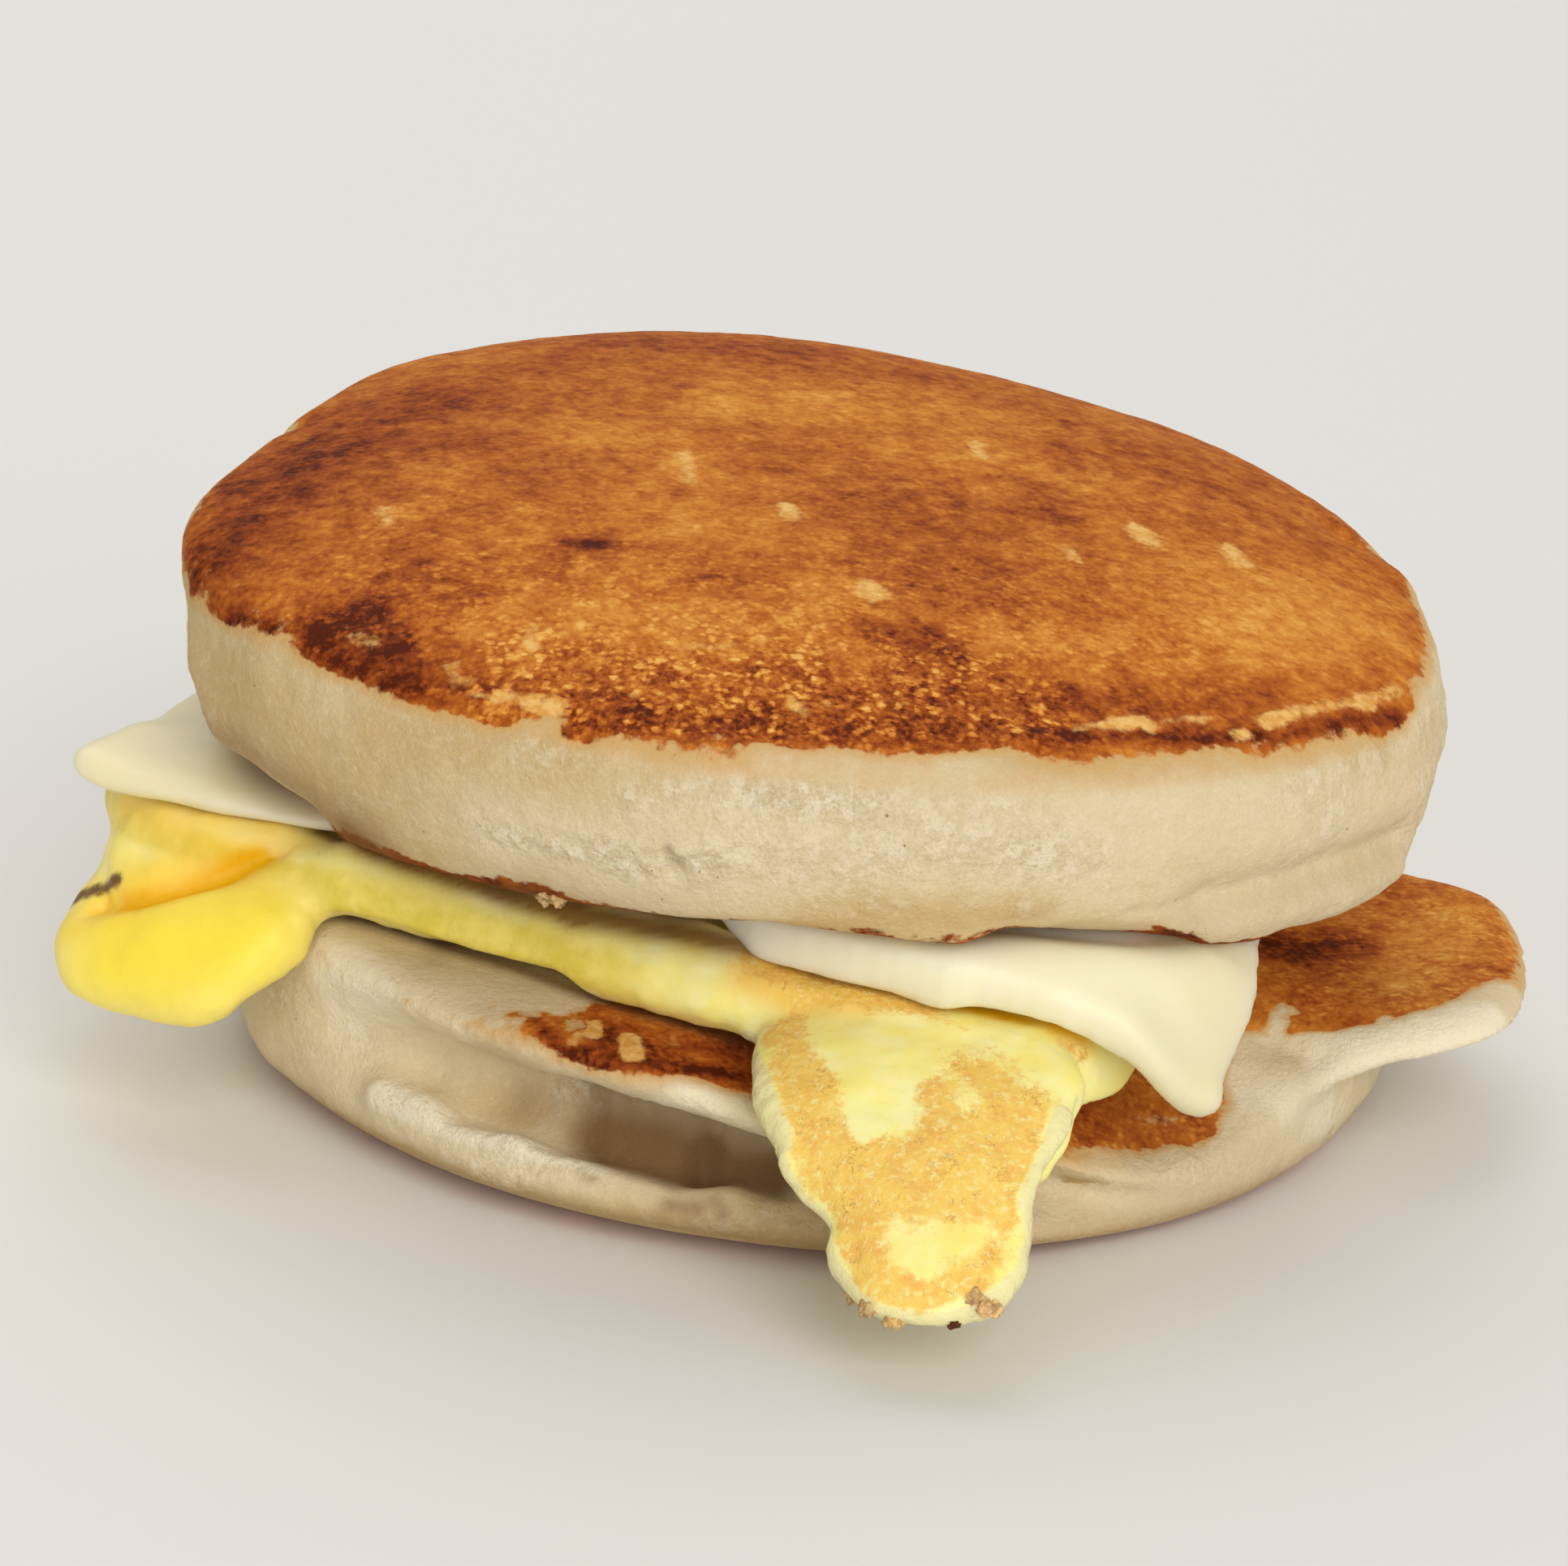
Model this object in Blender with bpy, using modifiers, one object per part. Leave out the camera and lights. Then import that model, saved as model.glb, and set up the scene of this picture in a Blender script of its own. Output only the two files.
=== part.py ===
"""Breakfast sandwich: two thick griddle cakes round a folded egg and a slice of cheese.

The sandwich stands on the flat underside of its lower cake. The origin is the middle of that face,
+Z is up, and -Y is the side from which the egg's flap hangs out. All sizes are in metres and all
angles in degrees, measured from +X towards +Y.
"""
import math

import bmesh
import bpy
from mathutils import Vector, noise

# Pieces that touch keep this much air between them.
GAP = 0.0003

# The plane that the filling lies on: its height over the origin and its slopes.
FILLING_HEIGHT = 0.0140
FILLING_SLOPE_X = -0.055
FILLING_SLOPE_Y = 0.040

# Lower cake
LOWER_RADIUS = 0.0452
LOWER_FOOT_EDGE = 0.0042
LOWER_RIM_EDGE = 0.0016

# Lobe of the lower cake: a thin ledge of its rim that runs out on the right
LOBE_ANGLE = -11.0
LOBE_REACH = 0.0100
LOBE_HALF_WIDTH = 33.0
LOBE_LEVEL = 0.75
LOBE_STEP = 0.16
LOBE_LIFT = 0.0012
LOBE_LIFT_START = 0.044
LOBE_LIFT_END = 0.051

# Split along the front of the lower cake, with a lip below it
SPLIT_ANGLE = -98.0
SPLIT_HALF_WIDTH = 50.0
SPLIT_DEPTH = 0.0060
SPLIT_LEVEL = 0.60
SPLIT_HEIGHT = 0.16
LIP_DEPTH = 0.0008
LIP_LEVEL = 0.25
LIP_HEIGHT = 0.15

# Two places where the rim sags: under the cheese's corner, and under the egg's flap
SAG_ANGLE = -56.0
SAG_HALF_WIDTH = 30.0
SAG_DEPTH = 0.0062
PRESS_ANGLE = -80.0
PRESS_HALF_WIDTH = 26.0
PRESS_DEPTH = 0.0042
SAG_START = 0.032
SAG_END = 0.045

# How the wall swells or draws in: direction, half width, height, and the two levels between which
# it grows to that height (levels below 0 for a change that runs up the whole wall)
LOWER_SWELLS = (
    (-30.0, 14.0, -0.0012, 0.5, 0.8),
    (-88.0, 50.0, 0.0010, -1.0, 0.0),
    (128.0, 50.0, -0.0010, -1.0, 0.0),
)

# Upper cake
UPPER_RADIUS = 0.0462
UPPER_CENTRE = (-0.0015, -0.0005)
UPPER_FOOT_EDGE = 0.0050
UPPER_RIM_EDGE = 0.0018
UPPER_LIFT = 0.0027
UPPER_LIFT_ANGLE = -92.0
UPPER_LIFT_HALF_WIDTH = 62.0
UPPER_LIFT_START = 0.028
UPPER_LIFT_END = 0.044
CROWN_HEIGHT = 0.0402
CROWN_SLOPE_X = -0.060
CROWN_SLOPE_Y = 0.130
CROWN_DOME = 0.0042
UPPER_SWELLS = (
    (-148.0, 34.0, 0.0022, 0.0, 0.6),
    (168.0, 34.0, -0.0022, -1.0, 0.0),
    (-165.0, 24.0, 0.0007, 0.6, 0.9),
    (100.0, 40.0, 0.0024, -1.0, 0.0),
    (40.0, 40.0, 0.0004, -1.0, 0.0),
    (-28.0, 30.0, 0.0018, -1.0, 0.0),
    (-78.0, 36.0, -0.0012, -1.0, 0.0),
)

# Its wall bellies out all round but on the left, where it is hollow.
BELLY_ANGLE = 178.0
BELLY_GAP = 60.0
BELLY_DEPTH = 0.0008
BELLY_LEVEL = 0.60
BELLY_HEIGHT = 0.25
HOLLOW_HALF_WIDTH = 50.0
HOLLOW_DEPTH = 0.0020
HOLLOW_LEVEL = 0.45
HOLLOW_HEIGHT = 0.40

# Its lower edge is rounder in front and sharper at the right: direction, half width, change
UPPER_FOOT_CHANGES = (
    (-86.0, 60.0, 0.0022),
    (-38.0, 32.0, -0.0022),
)

# Low relief of the baked walls
LUMP_SIZE = 0.0115
LUMP_DEPTH = 0.0007

# How much a hill is stretched upwards before its top is cut flat
PLATEAU_STRETCH = 1.7

# Folded egg
EGG_CENTRE = (-0.0050, -0.0020)
EGG_TURN = -21.0
EGG_LEFT = 0.0430
EGG_RIGHT = 0.0388
EGG_FRONT = 0.0360
EGG_BACK = 0.0380
EGG_CORNER_POWER = 5.5
EGG_DEPTH = 0.0042

# The egg grows thicker towards the back, at this rate from this place on.
EGG_RISE = 0.056
EGG_RISE_START = -0.045

# The filling sinks towards this side, from this distance on, with this bend radius.
DROOP_ANGLE = 160.0
DROOP_START = 0.036
DROOP_RADIUS = 0.030

# Flap of egg that hangs over the front: broad at the fold, drawn in below it, narrow at the tip
FLAP_START = Vector((0.0068, -0.0360, 0.0143))
FLAP_KNEE = Vector((0.0068, -0.0500, 0.0148))
FLAP_TIP = Vector((0.0080, -0.0618, 0.0042))
FLAP_WIDTH = 0.0230
FLAP_DEPTH = 0.0048
FLAP_NARROWING = 0.42
FLAP_NARROW_START = 0.35
FLAP_NARROW_END = 0.85
FLAP_WAVE = 0.03
FLAP_WAVE_PACE = 14.0
FLAP_END_ROUND = 0.5

# Tongue of egg that hangs out on the left
TONGUE_START = Vector((-0.0408, -0.0188, 0.0183))
TONGUE_KNEE = Vector((-0.0458, -0.0264, 0.0168))
TONGUE_TIP = Vector((-0.0468, -0.0296, 0.0078))
TONGUE_WIDTH = 0.0205
TONGUE_DEPTH = 0.0046
TONGUE_SWELL = 0.14
TONGUE_END_ROUND = 0.4

# Cross-section of the flap and the tongue: a power below 1 squares it, across and in thickness,
# and the two rates say how soon it reaches its full width and thickness from an end.
SECTION_ACROSS_POWER = 0.8
SECTION_OVER_POWER = 0.6
END_WIDENING = 4.0
END_THICKENING = 1.6

# Cheese slice
CHEESE_SIDE = 0.0870
CHEESE_DEPTH = 0.0024
CHEESE_CENTRE = (-0.0014, 0.0066)
CHEESE_TURN = -15.0
CHEESE_CORNER = 0.0040
CHEESE_WAIST = 0.0036
CHEESE_WAIST_PLACE = -0.023
CHEESE_WAIST_WIDTH = 0.012

# Creases of the cheese: direction of the corner, distance from the origin, bend radius and angle
CHEESE_CREASES = (
    (-49.0, 0.0432, 0.0040, 82.0),
    (36.0, 0.0470, 0.0050, 70.0),
    (118.0, 0.0530, 0.0050, 66.0),
)

# Fineness: points round a turned piece, rings on its faces and levels on its wall
CAKE_STEPS = 80
CAKE_RINGS = 5
LOWER_LEVELS = 13
UPPER_LEVELS = 12
EGG_STEPS = 72
EGG_RINGS = 4
EGG_LEVELS = (0.0, 0.08, 0.25, 0.5, 0.75, 0.92, 1.0)
FLAP_STEPS = (28, 20)
TONGUE_STEPS = (24, 14)
CHEESE_CELLS = 20


def ease(value):
    """Rise smoothly from 0 to 1 while the value goes from 0 to 1."""
    held = min(max(value, 0.0), 1.0)
    return held * held * (3.0 - 2.0 * held)


def hill(angle, centre, half_width):
    """A smooth hill of height 1 round a direction, and 0 beyond its half width."""
    away = abs((math.degrees(angle) - centre + 180.0) % 360.0 - 180.0)
    if away >= half_width:
        return 0.0
    return 0.5 + 0.5 * math.cos(math.pi * away / half_width)


def ridge(level, centre, half_width):
    """A smooth ridge of height 1 round a level of a wall."""
    return math.exp(-((level - centre) / half_width) ** 2)


def filling_floor(x, y):
    """Height of the browned face that carries the filling."""
    return FILLING_HEIGHT + FILLING_SLOPE_X * x + FILLING_SLOPE_Y * y


def left_droop(x, y):
    """How far the filling sinks where it runs out past the cakes on the left."""
    heading = math.radians(DROOP_ANGLE)
    beyond = max(0.0, x * math.cos(heading) + y * math.sin(heading) - DROOP_START)
    return beyond * beyond / (2 * DROOP_RADIUS)


def egg_top(x, y):
    """Height of the egg's upper face."""
    depth = EGG_DEPTH + EGG_RISE * (y - EGG_RISE_START)
    return filling_floor(x, y) + GAP + depth - left_droop(x, y)


def cheese_middle(x, y):
    """Height of the middle of the cheese where it lies on the egg."""
    return egg_top(x, y) + GAP + CHEESE_DEPTH / 2


def upper_floor(x, y):
    """Height of the upper cake's underside."""
    return cheese_middle(x, y) + CHEESE_DEPTH / 2 + GAP + left_droop(x, y)


def even_levels(count):
    """Evenly spaced levels of a wall, from its foot at 0 to its rim at 1."""
    return [index / (count - 1) for index in range(count)]


def turned_blank(rings, levels, steps):
    """A unit cake: flat faces at heights 0 and 1, and a wall of radius 1 between them."""
    bm = bmesh.new()
    face = [math.sin(0.5 * math.pi * ring / rings) for ring in range(rings)]
    profile = [(radius, 0.0) for radius in face]
    profile += [(1.0, level) for level in levels]
    profile += [(radius, 1.0) for radius in reversed(face)]
    verts = [bm.verts.new((radius, 0.0, height)) for radius, height in profile]
    edges = [bm.edges.new(pair) for pair in zip(verts, verts[1:])]
    bmesh.ops.spin(bm, geom=verts + edges, cent=(0, 0, 0), axis=(0, 0, 1),
                   angle=2 * math.pi, steps=steps, use_merge=True)
    bmesh.ops.remove_doubles(bm, verts=bm.verts, dist=1e-6)
    bmesh.ops.recalc_face_normals(bm, faces=bm.faces)
    return bm


def shape_blank(bm, place):
    """Move each point of a unit cake to where place(reach, angle, level) says."""
    for vert in bm.verts:
        reach = min(math.hypot(vert.co.x, vert.co.y), 1.0)
        angle = math.atan2(vert.co.y, vert.co.x)
        vert.co = place(reach, angle, vert.co.z)


def rounded_edge(level, foot_edge, rim_edge, thickness):
    """How far a wall draws in near its two edges, as quarter circles."""
    foot = max(0.0, 1.0 - level * thickness / foot_edge)
    rim = max(0.0, 1.0 - (1.0 - level) * thickness / rim_edge)
    foot_inset = foot_edge * (1.0 - math.sqrt(1.0 - foot * foot))
    rim_inset = rim_edge * (1.0 - math.sqrt(1.0 - rim * rim))
    return foot_inset + rim_inset


def plateau(angle, centre, half_width):
    """A hill with a flat top and steeper sides."""
    return ease(PLATEAU_STRETCH * hill(angle, centre, half_width))


def swelling(angle, level, swells):
    """How far a wall stands out of its round at one place."""
    total = 0.0
    for centre, half_width, height, start, full in swells:
        total += height * hill(angle, centre, half_width) * ease((level - start) / (full - start))
    return total


def with_lumps(point, angle, reach, level):
    """Move a point of a wall out or in by the low relief of a baked surface."""
    if reach < 1.0 or level in (0.0, 1.0):
        return point
    outward = Vector((math.cos(angle), math.sin(angle), 0.0))
    return point + outward * LUMP_DEPTH * noise.noise(point / LUMP_SIZE)


def lower_cake_radius(angle, level):
    """Radius of the lower cake's wall, with its split side and its lobe."""
    lobe = plateau(angle, LOBE_ANGLE, LOBE_HALF_WIDTH)
    split = plateau(angle, SPLIT_ANGLE, SPLIT_HALF_WIDTH)
    radius = LOWER_RADIUS + swelling(angle, level, LOWER_SWELLS)
    radius += LOBE_REACH * lobe * ease((level - LOBE_LEVEL) / LOBE_STEP + 0.5)
    radius -= SPLIT_DEPTH * split * ridge(level, SPLIT_LEVEL, SPLIT_HEIGHT)
    radius += LIP_DEPTH * split * ridge(level, LIP_LEVEL, LIP_HEIGHT)
    return radius


def lower_cake_point(reach, angle, level):
    """One point of the lower cake."""
    inset = rounded_edge(level, LOWER_FOOT_EDGE, LOWER_RIM_EDGE, FILLING_HEIGHT)
    radius = reach * (lower_cake_radius(angle, level) - inset)
    x = radius * math.cos(angle)
    y = radius * math.sin(angle)
    sag = max(SAG_DEPTH * hill(angle, SAG_ANGLE, SAG_HALF_WIDTH),
              PRESS_DEPTH * hill(angle, PRESS_ANGLE, PRESS_HALF_WIDTH))
    sag *= ease((radius - SAG_START) / (SAG_END - SAG_START))
    lift = LOBE_LIFT * plateau(angle, LOBE_ANGLE, LOBE_HALF_WIDTH)
    lift *= ease((radius - LOBE_LIFT_START) / (LOBE_LIFT_END - LOBE_LIFT_START))
    top = filling_floor(x, y) - sag + lift
    return with_lumps(Vector((x, y, level * top)), angle, reach, level)


def upper_cake_radius(angle, level):
    """Radius of the upper cake's wall: an uneven round, drawn in at its left."""
    belly = 1.0 - hill(angle, BELLY_ANGLE, BELLY_GAP)
    hollow = hill(angle, BELLY_ANGLE, HOLLOW_HALF_WIDTH)
    radius = UPPER_RADIUS + swelling(angle, level, UPPER_SWELLS)
    radius += BELLY_DEPTH * belly * ridge(level, BELLY_LEVEL, BELLY_HEIGHT)
    radius -= HOLLOW_DEPTH * hollow * ridge(level, HOLLOW_LEVEL, HOLLOW_HEIGHT)
    return radius


def upper_cake_point(reach, angle, level):
    """One point of the upper cake."""
    thickness = CROWN_HEIGHT - FILLING_HEIGHT - EGG_DEPTH - CHEESE_DEPTH
    foot = UPPER_FOOT_EDGE
    for centre, half_width, change in UPPER_FOOT_CHANGES:
        foot += change * hill(angle, centre, half_width)
    inset = rounded_edge(level, foot, UPPER_RIM_EDGE, thickness)
    radius = reach * (upper_cake_radius(angle, level) - inset)
    x = UPPER_CENTRE[0] + radius * math.cos(angle)
    y = UPPER_CENTRE[1] + radius * math.sin(angle)
    lift = UPPER_LIFT * hill(angle, UPPER_LIFT_ANGLE, UPPER_LIFT_HALF_WIDTH)
    lift *= ease((radius - UPPER_LIFT_START) / (UPPER_LIFT_END - UPPER_LIFT_START))
    bottom = upper_floor(x, y) + lift
    top = CROWN_HEIGHT + CROWN_SLOPE_X * x + CROWN_SLOPE_Y * y
    top += CROWN_DOME * (1.0 - reach ** 4)
    return with_lumps(Vector((x, y, bottom + (top - bottom) * level)), angle, reach, level)


def egg_slab_point(reach, angle, level):
    """One point of the folded egg's body, a square with rounded corners, turned on the cake."""
    turned = angle - math.radians(EGG_TURN)
    along = math.cos(turned)
    across = math.sin(turned)
    half_length = EGG_RIGHT if along > 0 else EGG_LEFT
    half_width = EGG_BACK if across > 0 else EGG_FRONT
    power = EGG_CORNER_POWER
    spread = abs(along / half_length) ** power + abs(across / half_width) ** power
    outline = spread ** (-1.0 / power)
    edge = EGG_DEPTH / 2
    inset = rounded_edge(level, edge, edge, EGG_DEPTH)
    radius = reach * (outline - inset)
    x = EGG_CENTRE[0] + radius * math.cos(angle)
    y = EGG_CENTRE[1] + radius * math.sin(angle)
    bottom = filling_floor(x, y) + GAP
    return Vector((x, y, bottom + (egg_top(x, y) - bottom) * level))


def curve_point(start, knee, tip, t):
    """A point and the direction of travel on a quadratic curve through three handles."""
    point = (1 - t) ** 2 * start + 2 * t * (1 - t) * knee + t * t * tip
    heading = 2 * (1 - t) * (knee - start) + 2 * t * (tip - knee)
    return point, heading.normalized()


def sheet_strip(handles, sideways, width_at, depth, end_round, steps):
    """A strip of thick sheet with round edges that follows a curve through three handles."""
    bm = bmesh.new()
    bmesh.ops.create_uvsphere(bm, u_segments=steps[0], v_segments=steps[1], radius=1.0)
    for vert in bm.verts:
        t = 0.5 - 0.5 * vert.co.z
        ring = max(math.hypot(vert.co.x, vert.co.y), 1e-9)
        point, heading = curve_point(*handles, t)
        up = sideways.cross(heading).normalized()
        # The cross-section is a flat oblong with half-round edges, which shrinks to each end.
        across = math.copysign((abs(vert.co.x) / ring) ** SECTION_ACROSS_POWER, vert.co.x)
        over = math.copysign((abs(vert.co.y) / ring) ** SECTION_OVER_POWER, vert.co.y)
        half_width = width_at(t) / 2 * ring ** end_round * min(1.0, END_WIDENING * ring)
        half_depth = depth / 2 * min(1.0, END_THICKENING * ring)
        vert.co = point + sideways * across * half_width + up * over * half_depth
    bmesh.ops.recalc_face_normals(bm, faces=bm.faces)
    return bm


def flap_width(t):
    """Width of the front flap at a share of its length."""
    narrow = ease((t - FLAP_NARROW_START) / (FLAP_NARROW_END - FLAP_NARROW_START))
    return FLAP_WIDTH * (1.0 - FLAP_NARROWING * narrow + FLAP_WAVE * math.sin(FLAP_WAVE_PACE * t))


def tongue_width(t):
    """Width of the left tongue at a share of its length."""
    return TONGUE_WIDTH * (1.0 - TONGUE_SWELL * (1.0 - math.sin(math.pi * t)))


def drape(point, origin, towards, radius, angle):
    """Bend a flat sheet round a crease: beyond it the sheet turns down by the given angle."""
    flat = Vector((point.x, point.y))
    beyond = (flat - origin).dot(towards)
    if beyond <= 0.0:
        return point
    turn = min(beyond / radius, angle)
    straight = beyond - radius * turn
    reach = radius * math.sin(turn) + straight * math.cos(turn)
    drop = radius * (1.0 - math.cos(turn)) + straight * math.sin(turn)
    moved = flat + towards * (reach - beyond)
    return Vector((moved.x, moved.y, point.z - drop))


def cheese_point(u, v):
    """One point of the cheese's middle surface, from flat coordinates along its sides."""
    half = CHEESE_SIDE / 2
    waist = CHEESE_WAIST * math.exp(-((v - CHEESE_WAIST_PLACE) / CHEESE_WAIST_WIDTH) ** 2)
    core = half - CHEESE_CORNER
    corner = Vector((max(abs(u) - core, 0.0), max(abs(v) - core, 0.0)))
    if corner.length > CHEESE_CORNER:
        corner = corner * (CHEESE_CORNER / corner.length)
    if abs(u) > core:
        u = math.copysign(core + corner.x, u)
    if abs(v) > core:
        v = math.copysign(core + corner.y, v)
    u -= waist * max(0.0, u / half)
    turn = math.radians(CHEESE_TURN)
    x = CHEESE_CENTRE[0] + u * math.cos(turn) - v * math.sin(turn)
    y = CHEESE_CENTRE[1] + u * math.sin(turn) + v * math.cos(turn)
    point = Vector((x, y, 0.0))
    for direction, distance, radius, angle in CHEESE_CREASES:
        heading = math.radians(direction)
        towards = Vector((math.cos(heading), math.sin(heading)))
        point = drape(point, towards * distance, towards, radius, math.radians(angle))
    point.z += cheese_middle(point.x, point.y)
    return point


def material(name, colour, roughness):
    """A plain food surface."""
    made = bpy.data.materials.new(name)
    made.use_nodes = True
    surface = made.node_tree.nodes["Principled BSDF"]
    surface.inputs["Base Color"].default_value = (*colour, 1.0)
    surface.inputs["Roughness"].default_value = roughness
    surface.inputs["Metallic"].default_value = 0.0
    return made


def add_object(name, bm, collection, finish):
    """Turn a bmesh into a smooth-shaded object of the sandwich."""
    mesh = bpy.data.meshes.new(name)
    bm.to_mesh(mesh)
    bm.free()
    mesh.shade_smooth()
    mesh.materials.append(finish)
    made = bpy.data.objects.new(name, mesh)
    collection.objects.link(made)
    return made


def add_cakes(collection, finish):
    """The two griddle cakes."""
    lower = turned_blank(CAKE_RINGS, even_levels(LOWER_LEVELS), CAKE_STEPS)
    shape_blank(lower, lower_cake_point)
    add_object("lower_cake", lower, collection, finish)
    upper = turned_blank(CAKE_RINGS, even_levels(UPPER_LEVELS), CAKE_STEPS)
    shape_blank(upper, upper_cake_point)
    add_object("upper_cake", upper, collection, finish)


def add_egg(collection, cutters, finish):
    """The folded egg: its body with the flap and the tongue joined on as one closed skin."""
    slab = turned_blank(EGG_RINGS, EGG_LEVELS, EGG_STEPS)
    shape_blank(slab, egg_slab_point)
    body = add_object("folded_egg", slab, collection, finish)
    flap = sheet_strip((FLAP_START, FLAP_KNEE, FLAP_TIP), Vector((1.0, 0.0, 0.0)), flap_width,
                       FLAP_DEPTH, FLAP_END_ROUND, FLAP_STEPS)
    outward = TONGUE_TIP - TONGUE_START
    tongue_side = Vector((-outward.y, outward.x, 0.0)).normalized()
    tongue = sheet_strip((TONGUE_START, TONGUE_KNEE, TONGUE_TIP), tongue_side, tongue_width,
                         TONGUE_DEPTH, TONGUE_END_ROUND, TONGUE_STEPS)
    add_object("flap_form", flap, cutters, finish)
    add_object("tongue_form", tongue, cutters, finish)
    join = body.modifiers.new("join", "BOOLEAN")
    join.operation = "UNION"
    join.operand_type = "COLLECTION"
    join.collection = cutters
    bpy.context.view_layer.update()
    joined = bpy.data.meshes.new_from_object(body.evaluated_get(bpy.context.evaluated_depsgraph_get()))
    body.modifiers.clear()
    body.data = joined
    for form in list(cutters.objects):
        bpy.data.objects.remove(form)


def add_cheese(collection, finish):
    """The slice of cheese: a flat sheet laid over the egg, with its corners bent down."""
    bm = bmesh.new()
    bmesh.ops.create_grid(bm, x_segments=CHEESE_CELLS, y_segments=CHEESE_CELLS, size=CHEESE_SIDE / 2)
    for vert in bm.verts:
        vert.co = cheese_point(vert.co.x, vert.co.y)
    slice_object = add_object("cheese_slice", bm, collection, finish)
    wall = slice_object.modifiers.new("thickness", "SOLIDIFY")
    wall.thickness = CHEESE_DEPTH
    wall.offset = 0.0


def main():
    for old in list(bpy.data.objects):
        bpy.data.objects.remove(old)
    sandwich = bpy.data.collections.new("breakfast_sandwich")
    cutters = bpy.data.collections.new("cutters")
    bpy.context.scene.collection.children.link(sandwich)
    bpy.context.scene.collection.children.link(cutters)
    add_cakes(sandwich, material("griddled_cake", (0.62, 0.40, 0.20), 0.7))
    add_egg(sandwich, cutters, material("egg", (0.90, 0.70, 0.12), 0.45))
    add_cheese(sandwich, material("cheese", (0.88, 0.80, 0.50), 0.4))


main()
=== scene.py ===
import math

import bmesh
import bpy
import numpy as np
from mathutils import Matrix, Vector, noise
from mathutils.bvhtree import BVHTree


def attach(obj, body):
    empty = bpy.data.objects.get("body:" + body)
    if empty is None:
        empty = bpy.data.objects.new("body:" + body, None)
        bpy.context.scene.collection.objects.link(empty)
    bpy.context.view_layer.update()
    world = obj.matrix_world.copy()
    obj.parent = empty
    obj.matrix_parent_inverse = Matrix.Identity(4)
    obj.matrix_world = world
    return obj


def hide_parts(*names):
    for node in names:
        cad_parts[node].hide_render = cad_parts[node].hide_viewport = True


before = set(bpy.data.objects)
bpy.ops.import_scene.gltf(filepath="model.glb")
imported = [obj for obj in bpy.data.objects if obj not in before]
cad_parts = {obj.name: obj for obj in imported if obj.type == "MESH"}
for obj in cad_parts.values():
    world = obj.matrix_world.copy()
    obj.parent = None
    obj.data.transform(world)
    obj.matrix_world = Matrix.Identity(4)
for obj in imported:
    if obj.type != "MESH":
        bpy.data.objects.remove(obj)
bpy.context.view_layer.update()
print("frame loaded")

mm = 0.001

# The camera: its place in metres, how far it looks down and rolls in degrees, its lens and film in
# millimetres, and the picture's size in pixels. Pixels named below are pixels of that picture.
lookOut = {
    "place": (-0.00288, -0.2333, 0.08986),
    "down": 16.88,
    "roll": 3.4,
    "lens": 72.06,
    "film": 36.0,
    "picture": (1932, 1930),
    "clipStart": 0.01,
    "search": (0.16, 0.002, 90),     # metres to a ray's first point, metres between points, points
}


def cameraTurn():
    tilt = Matrix.Rotation(math.radians(90 - lookOut["down"]), 4, "X")
    return tilt @ Matrix.Rotation(math.radians(lookOut["roll"]), 4, "Z")


def addCamera():
    lens = bpy.data.cameras.new("camera")
    lens.lens = lookOut["lens"]
    lens.sensor_width = lookOut["film"]
    lens.clip_start = lookOut["clipStart"]
    camera = bpy.data.objects.new("camera", lens)
    camera.matrix_world = Matrix.Translation(lookOut["place"]) @ cameraTurn()
    bpy.context.scene.collection.objects.link(camera)
    bpy.context.scene.camera = camera


# The point of a piece that shows at a pixel, or the nearest one where the pixel just misses it
def landOn(tree, pixel):
    width, height = lookOut["picture"]
    size = lookOut["film"] / lookOut["lens"] / width
    ray = Vector(((pixel[0] - width / 2) * size, (height / 2 - pixel[1]) * size, -1.0))
    ray = (cameraTurn().to_3x3() @ ray).normalized()
    start = Vector(lookOut["place"])
    hit = tree.ray_cast(start, ray)[0]
    if hit is None:
        first, step, count = lookOut["search"]
        along = [start + ray * (first + step * k) for k in range(count)]
        hit = min((tree.find_nearest(point) for point in along), key=lambda near: near[3])[0]
    return hit


# Distance of each point from a line through pixels of the piece
def strokeGap(points, tree, pixels):
    line = [np.array(landOn(tree, pixel)) for pixel in pixels]
    gap = np.full(len(points), np.inf)
    for start, end in zip(line, line[1:] or line):
        along = end - start
        share = np.clip((points - start) @ along / max(along @ along, 1e-12), 0.0, 1.0)
        gap = np.minimum(gap, np.linalg.norm(points - start - share[:, None] * along, axis=1))
    return gap


# Adds up soft brush strokes, each (amount, half width in mm, pixels of its line)
def painted(points, tree, strokes):
    total = np.zeros(len(points))
    for amount, width, pixels in strokes:
        total += amount * np.exp(-(strokeGap(points, tree, pixels) / (width * mm)) ** 2)
    return total


# A brush that paints any of a piece's stroke lists onto its points
def brushFor(points, tree, settings):
    def paint(name):
        return painted(points, tree, settings[name])
    return paint


# Share from 0 to 1 of the way from low to high, eased at both ends
def smooth(values, low, high):
    share = np.clip((values - low) / (high - low), 0.0, 1.0)
    return share * share * (3.0 - 2.0 * share)


seedShift = (7.31, 3.17, 5.73)


# Fractal noise of about -1 to 1 with features of the given size in mm
def rough(points, size, seed, octaves=3):
    shift = Vector([seed * step for step in seedShift])
    scale = 1.0 / (size * mm)
    return np.array([noise.fractal(Vector(p) * scale + shift, 1.0, 2.0, octaves) for p in points])


def pointsOf(mesh):
    points = np.empty(len(mesh.vertices) * 3)
    mesh.vertices.foreach_get("co", points)
    return points.reshape(-1, 3)


def normalsOf(mesh):
    normals = np.empty(len(mesh.vertices) * 3)
    mesh.vertex_normals.foreach_get("vector", normals)
    return normals.reshape(-1, 3)


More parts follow.
